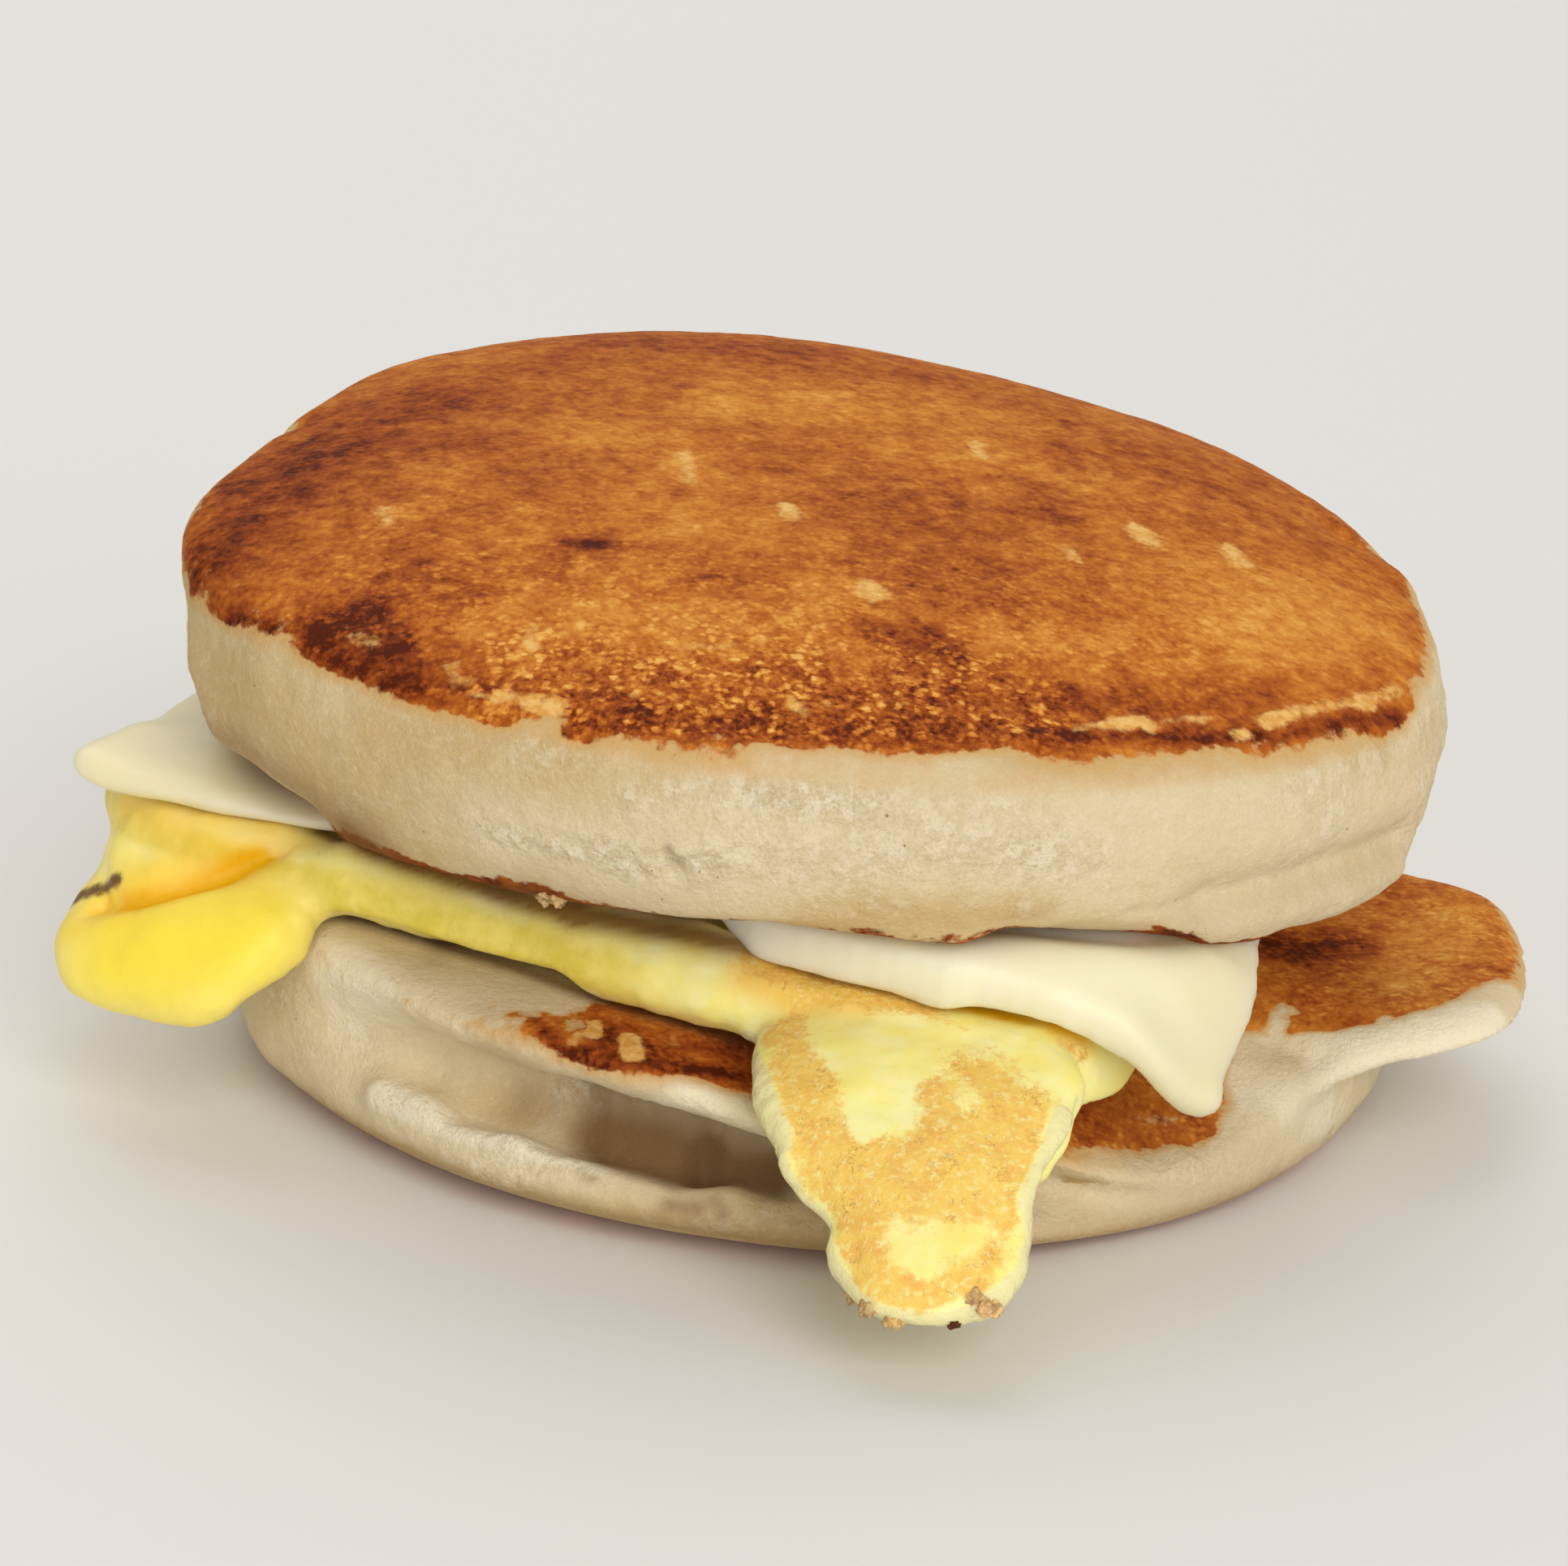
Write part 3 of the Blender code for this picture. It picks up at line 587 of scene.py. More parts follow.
upperCake = {
    "rounding": 2,
    "net": 0.60,
    "passes": 4,
    "deep": 6.5,
    "finerBand": 6.0,
    "topEdge": (0.4, 2.0),
    "bottomEdge": (0.4, 1.6),
    "lumps": ((9.0, 0.30), (3.2, 0.12), (1.2, 0.045)),     # size and height in mm
    "grain": (0.55, 0.035),
    "patchSeed": 41,
    "ridgeSeed": 11,
    "tornHeight": 0.24,
    "tornSize": 1.1,
    "underWall": 0.3,            # mm that the underside's brown stays inside the foot
    "underScorch": 0.30,
    "underScorchEdge": (-3.0, -0.5),
    "paleEdge": (-0.5, 0.5),
    "tanBase": 0.25,
    "shadeMost": 0.75,
    "torn": (
        (0.8, 1.0, [(600, 1020), (640, 1035), (700, 1042), (780, 1055), (880, 1062)]),
        (0.5, 1.4, [(780, 985), (860, 975), (950, 985), (1060, 990)]),
        (0.5, 1.8, [(880, 1050), (1000, 1062), (1150, 1055), (1350, 1062)]),
        (0.4, 2.5, [(950, 960), (1100, 990), (1250, 1010)]),
        (0.9, 0.8, [(860, 925), (885, 918), (900, 925)]),
        (0.6, 0.8, [(980, 925), (1010, 940)]),
    ),
    "carved": (
        (-0.35, 0.9, [(1400, 1130), (1460, 1118), (1550, 1097), (1640, 1072), (1725, 1036)]),
        (-0.95, 2.2, [(1490, 1116), (1560, 1098), (1650, 1070), (1725, 1040)]),
        (0.75, 1.3, [(1460, 1140), (1570, 1122), (1660, 1098), (1722, 1068)]),
        (-0.75, 0.45, [(822, 1052), (832, 1064)]),
        (0.45, 0.5, [(838, 1046), (868, 1042)]),
        (-0.9, 3.0, [(1770, 1000), (1750, 1035)]),
        (-1.0, 1.6, [(343, 530), (352, 522)]),
        (-0.8, 1.8, [(1655, 655), (1668, 664)]),
        (0.5, 2.4, [(1720, 712)]),
        (-0.35, 0.5, [(722, 912)]),
        (1.2, 3.0, [(252, 825), (272, 880)]),
        (0.40, 1.3, [(872, 925), (892, 922)]),
        (0.35, 0.9, [(1252, 912), (1278, 912)]),
        (0.30, 0.8, [(1400, 892)]),
    ),
    # mm that the lower edge hangs down over the filling
    "lowered": (
        (1.4, 2.2, [(430, 1012), (560, 1052), (680, 1083), (800, 1098), (950, 1110), (1080, 1128),
                    (1180, 1137)]),
        (-0.5, 1.8, [(1330, 1146), (1400, 1148)]),
        (0.7, 1.8, [(1490, 1150), (1540, 1151)]),
    ),
    # mm of browned area gained or lost along the rim
    "nicks": (
        (2.0, 2.4, [(226, 665), (238, 730)]),
        (1.0, 1.6, [(240, 735), (275, 758)]),
        (1.8, 1.6, [(262, 752), (320, 780)]),
        (2.0, 1.6, [(375, 800), (400, 812), (480, 845), (560, 870), (620, 880)]),
        (-0.5, 0.6, [(655, 894), (685, 896)]),
        (-1.2, 0.7, [(884, 910)]),
        (-1.4, 0.8, [(1252, 915), (1276, 912)]),
        (1.0, 0.8, [(700, 905), (745, 908)]),
        (-0.9, 1.6, [(1180, 940), (1300, 945), (1420, 938), (1500, 930)]),
        (-1.5, 1.5, [(950, 928), (1060, 938), (1150, 946), (1230, 938)]),
        (2.0, 1.8, [(1690, 888), (1738, 872)]),
        (-2.0, 1.2, [(1745, 890), (1778, 850), (1786, 820)]),
    ),
    "nicksBelow": (
        (2.2, 1.3, [(430, 1015), (520, 1044), (600, 1068), (670, 1088)]),
        (1.2, 0.7, [(1165, 1148), (1220, 1142)]),
        (-3.0, 1.6, [(960, 1122), (1050, 1132), (1120, 1140)]),
        (-3.0, 1.6, [(1300, 1148), (1340, 1149), (1385, 1150)]),
        (1.3, 0.8, [(1420, 1145), (1500, 1155), (1560, 1157)]),
    ),
    # Brown shade along the wall's foot
    "shade": (
        (0.42, 2.0, [(265, 895), (310, 930), (360, 965), (410, 995), (470, 1020)]),
        (0.70, 1.3, [(440, 1014), (500, 1042), (560, 1066), (650, 1096), (700, 1112)]),
        (0.22, 0.8, [(740, 1118), (860, 1132)]),
        (0.14, 1.5, [(1450, 1138), (1560, 1112), (1650, 1086), (1725, 1052)]),
    ),
    "scorchBase": 0.54,
    "scorch": (
        (0.26, 3.0, [(248, 705)]),
        (0.22, 4.5, [(290, 645), (325, 592), (400, 555)]),
        (0.10, 6.0, [(330, 690), (390, 650)]),
        (0.36, 2.8, [(395, 768), (445, 757)]),
        (0.20, 2.0, [(440, 780), (490, 792)]),
        (0.20, 1.4, [(380, 802), (440, 828), (500, 850)]),
        (0.22, 1.9, [(470, 805), (520, 832), (565, 850)]),
        (0.30, 0.9, [(280, 765), (335, 778)]),
        (0.10, 3.5, [(450, 705), (560, 705)]),
        (-0.18, 1.6, [(478, 635)]),
        (-0.14, 1.5, [(522, 528)]),
        (-0.10, 2.2, [(600, 512)]),
        (0.10, 1.8, [(490, 546), (560, 550), (632, 545)]),
        (0.14, 5.0, [(450, 510), (540, 500)]),
        (0.08, 5.0, [(660, 460), (740, 475)]),
        (-0.14, 4.0, [(715, 535), (785, 540)]),
        (-0.12, 4.0, [(900, 500), (1000, 490)]),
        (-0.20, 1.6, [(845, 570)]),
        (0.28, 1.2, [(710, 668), (752, 672)]),
        (0.15, 1.7, [(893, 702), (907, 728)]),
        (-0.16, 5.0, [(760, 740), (880, 765), (1000, 745)]),
        (-0.12, 3.0, [(610, 770), (660, 782)]),
        (-0.10, 5.0, [(850, 640), (970, 630)]),
        (0.16, 1.8, [(1045, 765)]),
        (0.28, 2.4, [(1110, 780), (1170, 800)]),
        (-0.14, 4.0, [(1215, 785), (1300, 795)]),
        (0.13, 6.0, [(1060, 610), (1130, 690)]),
        (0.16, 2.5, [(1275, 602), (1310, 640)]),
        (0.05, 6.0, [(1250, 660), (1350, 690)]),
        (0.08, 5.0, [(1250, 725), (1400, 735)]),
        (-0.14, 2.5, [(1150, 560), (1210, 560)]),
        (-0.12, 6.0, [(1040, 510), (1150, 510)]),
        (0.10, 5.0, [(1000, 435), (1150, 465), (1300, 515)]),
        (-0.12, 3.0, [(1310, 585), (1350, 600)]),
        (0.10, 8.0, [(1420, 570), (1540, 630)]),
        (-0.17, 9.0, [(1480, 745), (1640, 755)]),
        (-0.10, 5.0, [(1540, 790), (1600, 790)]),
        (0.10, 4.0, [(1600, 825), (1720, 830)]),
        (0.16, 2.5, [(1320, 862), (1450, 868), (1560, 862)]),
        (0.32, 0.9, [(1320, 908), (1450, 912), (1560, 906), (1640, 898), (1725, 884)]),
        (0.10, 1.2, [(1722, 885), (1732, 890)]),
        (0.17, 2.0, [(700, 887), (800, 892), (900, 898), (1000, 903), (1100, 907),
                     (1200, 909), (1300, 909)]),
        (0.10, 3.6, [(800, 862), (950, 868), (1100, 875), (1250, 872)]),
        (0.14, 7.0, [(420, 530), (540, 500)]),
        (0.16, 7.0, [(760, 425), (900, 425)]),
        (0.08, 6.0, [(380, 590), (480, 560)]),
    ),
    "bubbles": (
        (1.0, 3.6, [(640, 860), (800, 868), (950, 875), (1100, 880), (1250, 880)]),
        (0.7, 3.5, [(640, 830), (800, 830), (1000, 840), (1200, 845)]),
        (0.3, 12.0, [(500, 740), (700, 760), (1000, 780), (1300, 790)]),
        (0.2, 30.0, [(700, 650), (1300, 680)]),
    ),
    "pale": (
        (1.0, 1.2, [(1070, 722), (1076, 734)]),
        (0.95, 1.3, [(1402, 652), (1416, 666)]),
        (1.0, 1.2, [(1518, 676), (1524, 692)]),
        (1.0, 1.0, [(970, 624), (974, 638)]),
        (0.7, 1.0, [(1318, 680), (1322, 690)]),
        (0.9, 0.8, [(650, 780), (656, 796)]),
        (0.8, 0.9, [(842, 560), (850, 592)]),
        (0.7, 0.9, [(474, 626), (482, 646)]),
        (0.6, 0.8, [(435, 782), (465, 794)]),
        (0.55, 0.9, [(556, 824), (570, 838)]),
        (1.1, 0.8, [(586, 862), (608, 870), (618, 860)]),
        (0.95, 1.0, [(655, 866), (668, 886), (684, 868)]),
        (0.85, 0.8, [(342, 770), (362, 790)]),
        (0.8, 0.7, [(548, 858), (556, 862)]),
        (0.8, 0.9, [(1200, 544), (1208, 562)]),
        (0.50, 0.7, [(840, 795), (880, 800), (905, 792)]),
        (0.7, 0.45, [(781, 856)]),
        (0.7, 0.45, [(815, 856)]),
        (0.7, 0.45, [(935, 852)]),
        (0.8, 0.6, [(975, 866), (990, 880)]),
        (0.6, 0.45, [(1020, 868)]),
        (0.6, 0.45, [(1108, 866)]),
        (0.7, 0.7, [(1328, 896), (1375, 890), (1412, 894)]),
        (0.7, 1.0, [(1390, 892), (1408, 893)]),
        (0.6, 0.6, [(1440, 888), (1500, 884)]),
        (0.8, 0.7, [(1522, 906), (1536, 906)]),
        (0.7, 0.8, [(1556, 892), (1590, 880), (1640, 870), (1680, 866)]),
        (0.6, 1.0, [(1566, 888), (1580, 884)]),
        (0.7, 1.1, [(1685, 866), (1725, 852)]),
    ),
    # Crumb tone, tan where positive and whiter where negative; the strokes on the left wall and along the
    # foot paint shade
    "tan": (
        (0.60, 6.0, [(240, 800), (330, 870), (430, 950)]),
        (-0.5, 1.2, [(600, 1020), (700, 1044), (800, 1058)]),
        (0.45, 2.6, [(600, 925), (700, 935), (790, 945)]),
        (0.40, 2.5, [(470, 880), (560, 905)]),
        (0.55, 1.8, [(1000, 1112), (1150, 1120), (1280, 1116)]),
        (0.45, 1.6, [(1240, 938), (1400, 944), (1560, 940), (1700, 925)]),
        (0.35, 2.5, [(400, 990), (560, 1050), (680, 1090)]),
        (0.40, 1.6, [(700, 1092), (820, 1106), (960, 1116)]),
        (-0.25, 4.0, [(900, 1050), (1150, 1060), (1350, 1060)]),
        (-0.20, 6.0, [(1450, 1000), (1600, 980)]),
        (0.20, 2.0, [(1000, 945), (1200, 950)]),
    ),
}


def buildUpperCake():
    piece, _, paint, top, bottom, torn = shapeCake("upper_cake", "upperCake", upperCake)
    rimward = top + paint("nicks")
    under = upperCake["underScorch"] * smooth(bottom, *upperCake["underScorchEdge"])
    store(
        piece.data,
        rimward=rimward,
        browned=np.maximum(rimward, bottom - upperCake["underWall"] + paint("nicksBelow")),
        scorch=upperCake["scorchBase"] + under + paint("scorch"),
        bubbles=np.clip(paint("bubbles"), 0, 1),
        pale=paint("pale") * smooth(top, *upperCake["paleEdge"]),
        torn=torn,
        tan=upperCake["tanBase"] + paint("tan"),
        hollow=np.clip(paint("shade"), 0, upperCake["shadeMost"]),
    )
    return piece


lowerCake = {
    "rounding": 2,
    "net": 0.60,
    "passes": 4,
    "deep": 4.6,
    "finerBand": 7.0,
    "topEdge": (0.3, 1.6),
    "bottomEdge": (0.3, 1.6),
    "flatFoot": (-0.6, 0.2),
    "lumps": ((8.0, 0.28), (3.0, 0.10), (1.2, 0.04)),
    "grain": (0.55, 0.03),
    "patchSeed": 42,
    "ridgeSeed": 12,
    "tornHeight": 0.20,
    "tornSize": 1.2,
    "bareSize": 1.3,             # mm, of the flecks that break the bare crumb's edge
    "bareRuffle": 0.9,
    "bareLeast": 0.4,
    "bareLimit": (2.6, 0.7),     # mm of brown lost for each bare 1, and how bare it starts
    "topWall": 0.2,              # mm that the upper face's brown stays inside the rim
    "underWall": 0.7,
    "bubbleShare": 0.35,
    "tanBase": -0.12,
    "footTan": 0.8,
    "footShade": 0.30,
    "footEdge": (-3.0, -0.2),
    "shadeEdge": (-0.5, 1.0),
    "shadeAndSpecksMost": 0.9,
    "carved": (
        (-1.8, 1.8, [(735, 1380), (810, 1398), (880, 1420), (960, 1445)]),
        (-1.0, 1.0, [(868, 1405), (875, 1440)]),
        (1.0, 1.4, [(470, 1345), (560, 1380), (640, 1402)]),
        (0.6, 1.4, [(640, 1402), (760, 1432), (900, 1475)]),
        (-1.0, 1.6, [(540, 1318), (620, 1345), (700, 1375)]),
        (-0.6, 3.0, [(420, 1270), (520, 1300)]),
        (-0.6, 1.6, [(1580, 1285), (1620, 1300)]),
    ),
    "torn": (
        (0.9, 0.9, [(690, 1338), (760, 1345), (860, 1352), (930, 1370)]),
        (0.5, 1.5, [(420, 1200), (560, 1240)]),
        # This stroke also paints highlight: whiter crumb along the lower lip's crest
        (0.6, 1.2, [(480, 1350), (560, 1383), (640, 1405), (720, 1428)]),
    ),
    # mm that the ledge in front of the hollow lies lower
    "lowered": (
        (1.4, 2.2, [(580, 1368), (660, 1390), (746, 1412), (831, 1441)]),
    ),
    # mm of browned area gained or lost
    "browned": (
        (1.1, 1.0, [(655, 1256), (690, 1296), (740, 1312), (850, 1312), (930, 1318)]),
        (1.0, 1.5, [(760, 1290), (840, 1298), (925, 1302)]),
        (-1.8, 1.1, [(840, 1346), (890, 1354), (935, 1362)]),
        (-3.0, 1.2, [(700, 1240), (715, 1262)]),
        (1.4, 1.0, [(1640, 1272), (1652, 1276)]),
        (-6.0, 2.2, [(1545, 1284), (1600, 1290), (1660, 1292), (1730, 1270), (1800, 1252), (1860, 1232)]),
        (-7.0, 2.6, [(1545, 1330), (1600, 1320), (1660, 1310)]),
        (-3.0, 1.2, [(1515, 1420), (1535, 1385)]),
        (2.8, 1.2, [(1340, 1393), (1400, 1405), (1455, 1403), (1485, 1392)]),
    ),
    # How bare of brown the face is. It is wholly bare from 1 on.
    "bare": (
        (3.0, 3.4, [(430, 1140), (520, 1175), (590, 1210)]),
        (2.5, 3.0, [(430, 1115), (520, 1145), (600, 1175)]),
        (2.0, 1.8, [(600, 1205), (650, 1228), (675, 1238)]),
        (2.2, 1.8, [(620, 1185), (680, 1212), (715, 1226)]),
        (2.0, 1.8, [(430, 1190), (520, 1222), (575, 1238)]),
        (1.2, 1.0, [(600, 1250), (625, 1262)]),
        (1.5, 1.0, [(1573, 1268), (1584, 1246)]),
        (0.8, 0.8, [(1700, 1262), (1712, 1256)]),
    ),
    "scorchBase": 0.48,
    "scorch": (
        (0.32, 0.8, [(655, 1254), (690, 1292), (740, 1312), (850, 1318), (930, 1328)]),
        (0.25, 1.5, [(733, 1267)]),
        (0.25, 1.9, [(777, 1287)]),
        (0.16, 3.0, [(720, 1290), (820, 1300), (925, 1310)]),
        # Painted shadow beneath the egg's edge, as darker brown
        (0.16, 1.4, [(840, 1278), (925, 1298)]),
        (0.45, 3.0, [(1570, 1165), (1600, 1175), (1650, 1165)]),
        (0.10, 1.8, [(1750, 1090), (1700, 1110)]),
        (0.14, 1.5, [(1840, 1190), (1850, 1205)]),
        (-0.12, 3.0, [(1780, 1130), (1720, 1190)]),
        (0.10, 2.0, [(1600, 1230), (1650, 1255)]),
        (0.16, 4.0, [(1340, 1380), (1430, 1380)]),
        (-0.14, 1.2, [(1780, 1200), (1720, 1215)]),
    ),
    "pale": (
        (1.7, 0.5, [(733, 1260), (733, 1274)]),
        (2.0, 0.7, [(776, 1278), (778, 1298)]),
        (0.6, 0.6, [(829, 1276), (831, 1286)]),
        (0.7, 0.5, [(705, 1284), (716, 1270)]),
        (0.4, 0.6, [(865, 1280)]),
    ),
    # Crumb tone, tan where positive and whiter where negative; many strokes paint shade in the hollows
    # above and below the lower lip, and highlight along its crest
    "tan": (
        (0.40, 2.0, [(600, 1285), (680, 1345), (760, 1370)]),
        (0.60, 1.8, [(470, 1305), (560, 1330), (640, 1352)]),
        (0.45, 1.6, [(570, 1235), (620, 1280), (660, 1310)]),
        (0.45, 2.5, [(460, 1400), (560, 1440), (700, 1475)]),
        (-1.0, 2.0, [(1640, 1302), (1740, 1290), (1840, 1258)]),
        (-0.6, 4.0, [(1560, 1340), (1620, 1380)]),
        (-1.2, 1.2, [(470, 1350), (560, 1383), (640, 1405), (740, 1428)]),
        (-0.5, 2.5, [(400, 1180), (470, 1230)]),
        (-0.5, 3.0, [(430, 1255), (540, 1292)]),
        (-0.7, 1.2, [(760, 1345), (850, 1352), (930, 1372)]),
        (0.5, 3.0, [(780, 1480), (900, 1510), (1000, 1525)]),
        (0.40, 4.0, [(300, 1180), (350, 1230)]),
        (0.25, 2.0, [(1560, 1310), (1640, 1315)]),
        (0.25, 2.0, [(1250, 1440), (1400, 1440)]),
    ),
    # Painted shade in the recess, under the egg's edge and low on the wall; three short strokes are brown
    # specks
    "hollow": (
        (0.95, 1.9, [(735, 1375), (810, 1392), (880, 1420), (960, 1435)]),
        (1.2, 0.8, [(872, 1408), (876, 1446)]),
        (0.45, 1.2, [(745, 1402), (820, 1424), (875, 1440)]),
        (0.35, 1.3, [(640, 1345), (700, 1368)]),
        (0.75, 1.0, [(395, 1116), (500, 1146), (600, 1180), (700, 1216), (800, 1252), (900, 1278)]),
        (0.20, 1.0, [(540, 1165), (535, 1185)]),
        (0.20, 2.5, [(820, 1500), (920, 1520), (1010, 1535)]),
        (0.45, 0.7, [(826, 1478), (858, 1486)]),
        (0.35, 0.5, [(880, 1480), (892, 1496)]),
        (0.35, 0.5, [(720, 1440), (732, 1448)]),
        (0.15, 6.0, [(1450, 1450), (1600, 1390)]),
    ),
}


def buildLowerCake():
    piece, points, paint, top, bottom, torn = shapeCake("lower_cake", "lowerCake", lowerCake)
    flecks = 1.0 + lowerCake["bareRuffle"] * rough(points, lowerCake["bareSize"], seed=23)
    bare = paint("bare") * np.maximum(flecks, lowerCake["bareLeast"])
    loss, start = lowerCake["bareLimit"]
    rimward = np.minimum(top - lowerCake["topWall"] + paint("browned"), loss * (start - bare))
    foot = smooth(bottom, *lowerCake["footEdge"])
    onWall, aboveFoot = (smooth(-depth, *lowerCake["shadeEdge"]) for depth in (top, bottom))
    # Painted shade: the strokes above, plus contact shade along the foot
    hollow = paint("hollow") + lowerCake["footShade"] * foot * onWall
    store(
        piece.data,
        rimward=rimward,
        browned=np.maximum(rimward, bottom - lowerCake["underWall"]),
        scorch=lowerCake["scorchBase"] + paint("scorch"),
        bubbles=np.full(len(points), lowerCake["bubbleShare"]),
        pale=paint("pale"),
        torn=torn,
        tan=lowerCake["tanBase"] + lowerCake["footTan"] * foot + paint("tan"),
        hollow=np.clip(hollow, 0, lowerCake["shadeAndSpecksMost"]) * aboveFoot,
    )
    return piece


# Fried egg: yellow, greenish side, browned patches, pale soft rim, golden and dark brown painted shade
eggLook = {
    "surface": {
        "Subsurface Weight": 0.32,
        "Subsurface Scale": 0.0025,
        "Subsurface Radius": (1.0, 0.7, 0.2),
        "Specular IOR Level": 0.35,
    },
    "yellow": (0.99, 0.86, 0.25),
    "lemon": (1.00, 0.93, 0.43),
    "side": (0.90, 0.74, 0.16),
    "sideDeep": (0.74, 0.61, 0.075),
    "tan": (0.96, 0.62, 0.120),
    "tanDeep": (0.87, 0.47, 0.085),
    "fleck": (0.50, 0.24, 0.05),
    "rim": (0.87, 0.79, 0.40),
    # Deep golden, painted shade in the crease and along the cheese's edge
    "deep": (0.86, 0.48, 0.003),
    "tongue": (0.99, 0.76, 0.060),
    "tonguePale": (0.97, 0.80, 0.22),
    "orange": (0.97, 0.60, 0.11),
    "burnt": (0.17, 0.080, 0.018),
    # Dark brown of the painted shadow under the upper cake's edge
    "toasted": (0.26, 0.120, 0.018),
    "lemonShare": 0.6,
    "fleckShare": 0.75,
    "tanShare": 0.92,
    "rimRoughness": (-0.18, 0.42),     # change on the rim, and elsewhere
    "tanRoughness": 0.25,
    "bump": 0.8,
    "grains": {
        "fine": (0.7, 4, 0.65),
        "lemon": (3.0, 3, 0.6, 1.1),
        "side": (2.4, 3, 0.6, 2.2),
        "tanBroad": (2.6, 5, 0.72, 3.3),
        "tanFine": (0.3, 3, 0.6, 8.1),
        "tanDeep": (1.3, 4, 0.6, 4.4),
        "lemonDots": (0.5, 4, 0.65, 9.2),
        "veins": (1.1, 4, 0.7, 5.5),
        "fleckGroup": (2.0, 3, 0.6, 6.1),
        "smoothRelief": (1.0, 3, 0.55, 6.6),
        "tanRelief": (0.40, 4, 0.65, 7.7),
        "wrinkles": (0.6, 3, 0.6, 16.2),
    },
    "ruffles": {
        "rim": ((0.7, "fine"),),
        "tan": ((1.5, "tanBroad"), (1.1, "fine"), (0.5, "tanFine")),
        "burnt": ((0.9, "fine"),),
        "smoothRelief": ((0.10, "smoothRelief"),),
        "tanRelief": ((0.26, "tanRelief"),),
        "wrinkles": ((0.28, "wrinkles"),),
    },
    "edges": {
        "lemon": (0.35, 0.68),
        "side": (0.35, 0.65),
        "rim": (0.30, 0.80),
        "tan": (0.22, 0.74),
        "tanDeep": (0.40, 0.70),
        "lemonDots": (0.50, 0.66),
        "veins": (0.004, 0.022),
        "fleckGroup": (0.50, 0.60),
        "burnt": (0.25, 0.95),
    },
}


def eggMaterial(name, look):
    r = Recipe(name, look)
    colour = r.blend(r.patches("lemon"), look["yellow"], look["lemon"])
    for field in ("tongue", "tonguePale"):
        colour = r.blend(r.field(field), colour, look[field])
    side = r.blend(r.patches("side"), look["side"], look["sideDeep"])
    colour = r.blend(r.field("side"), colour, side)
    # Orange browning, then the deep golden painted shade
    for field in ("orange", "deep"):
        colour = r.blend(r.field(field), colour, look[field])
    rim = r.raggedShare("rim")
    colour = r.blend(rim, colour, look["rim"])
    # The tanned patches, with yellow dots and dark hairlines
    tan = r.raggedShare("tan")
    tanned = r.blend(r.patches("tanDeep"), look["tan"], look["tanDeep"])
    tanned = r.blend(r.times(r.patches("lemonDots"), look["lemonShare"]), tanned, look["lemon"])
    veins = r.calc("ABSOLUTE", r.minus(r.grains["veins"], 0.5))
    flecks = r.times(r.minus(1.0, r.share(veins, "veins")), r.patches("fleckGroup"))
    tanned = r.blend(r.times(flecks, look["fleckShare"]), tanned, look["fleck"])
    colour = r.blend(r.times(tan, look["tanShare"]), colour, tanned)
    # Painted shadow, dark brown, under the upper cake's edge
    colour = r.blend(r.field("toasted"), colour, look["toasted"])
    colour = r.blend(r.raggedShare("burnt"), colour, look["burnt"])
    r.feed(r.surface.inputs["Base Color"], colour)
    gloss = r.scaled(rim, look["rimRoughness"])
    r.feed(r.surface.inputs["Roughness"], r.scaled(tan, (look["tanRoughness"], gloss)))
    height = r.plus(r.ruffled(0.0, "smoothRelief"), r.times(rim, r.ruffled(0.0, "wrinkles")))
    r.bump(r.plus(height, r.times(tan, r.ruffled(0.0, "tanRelief"))), look["bump"])
    return r.material


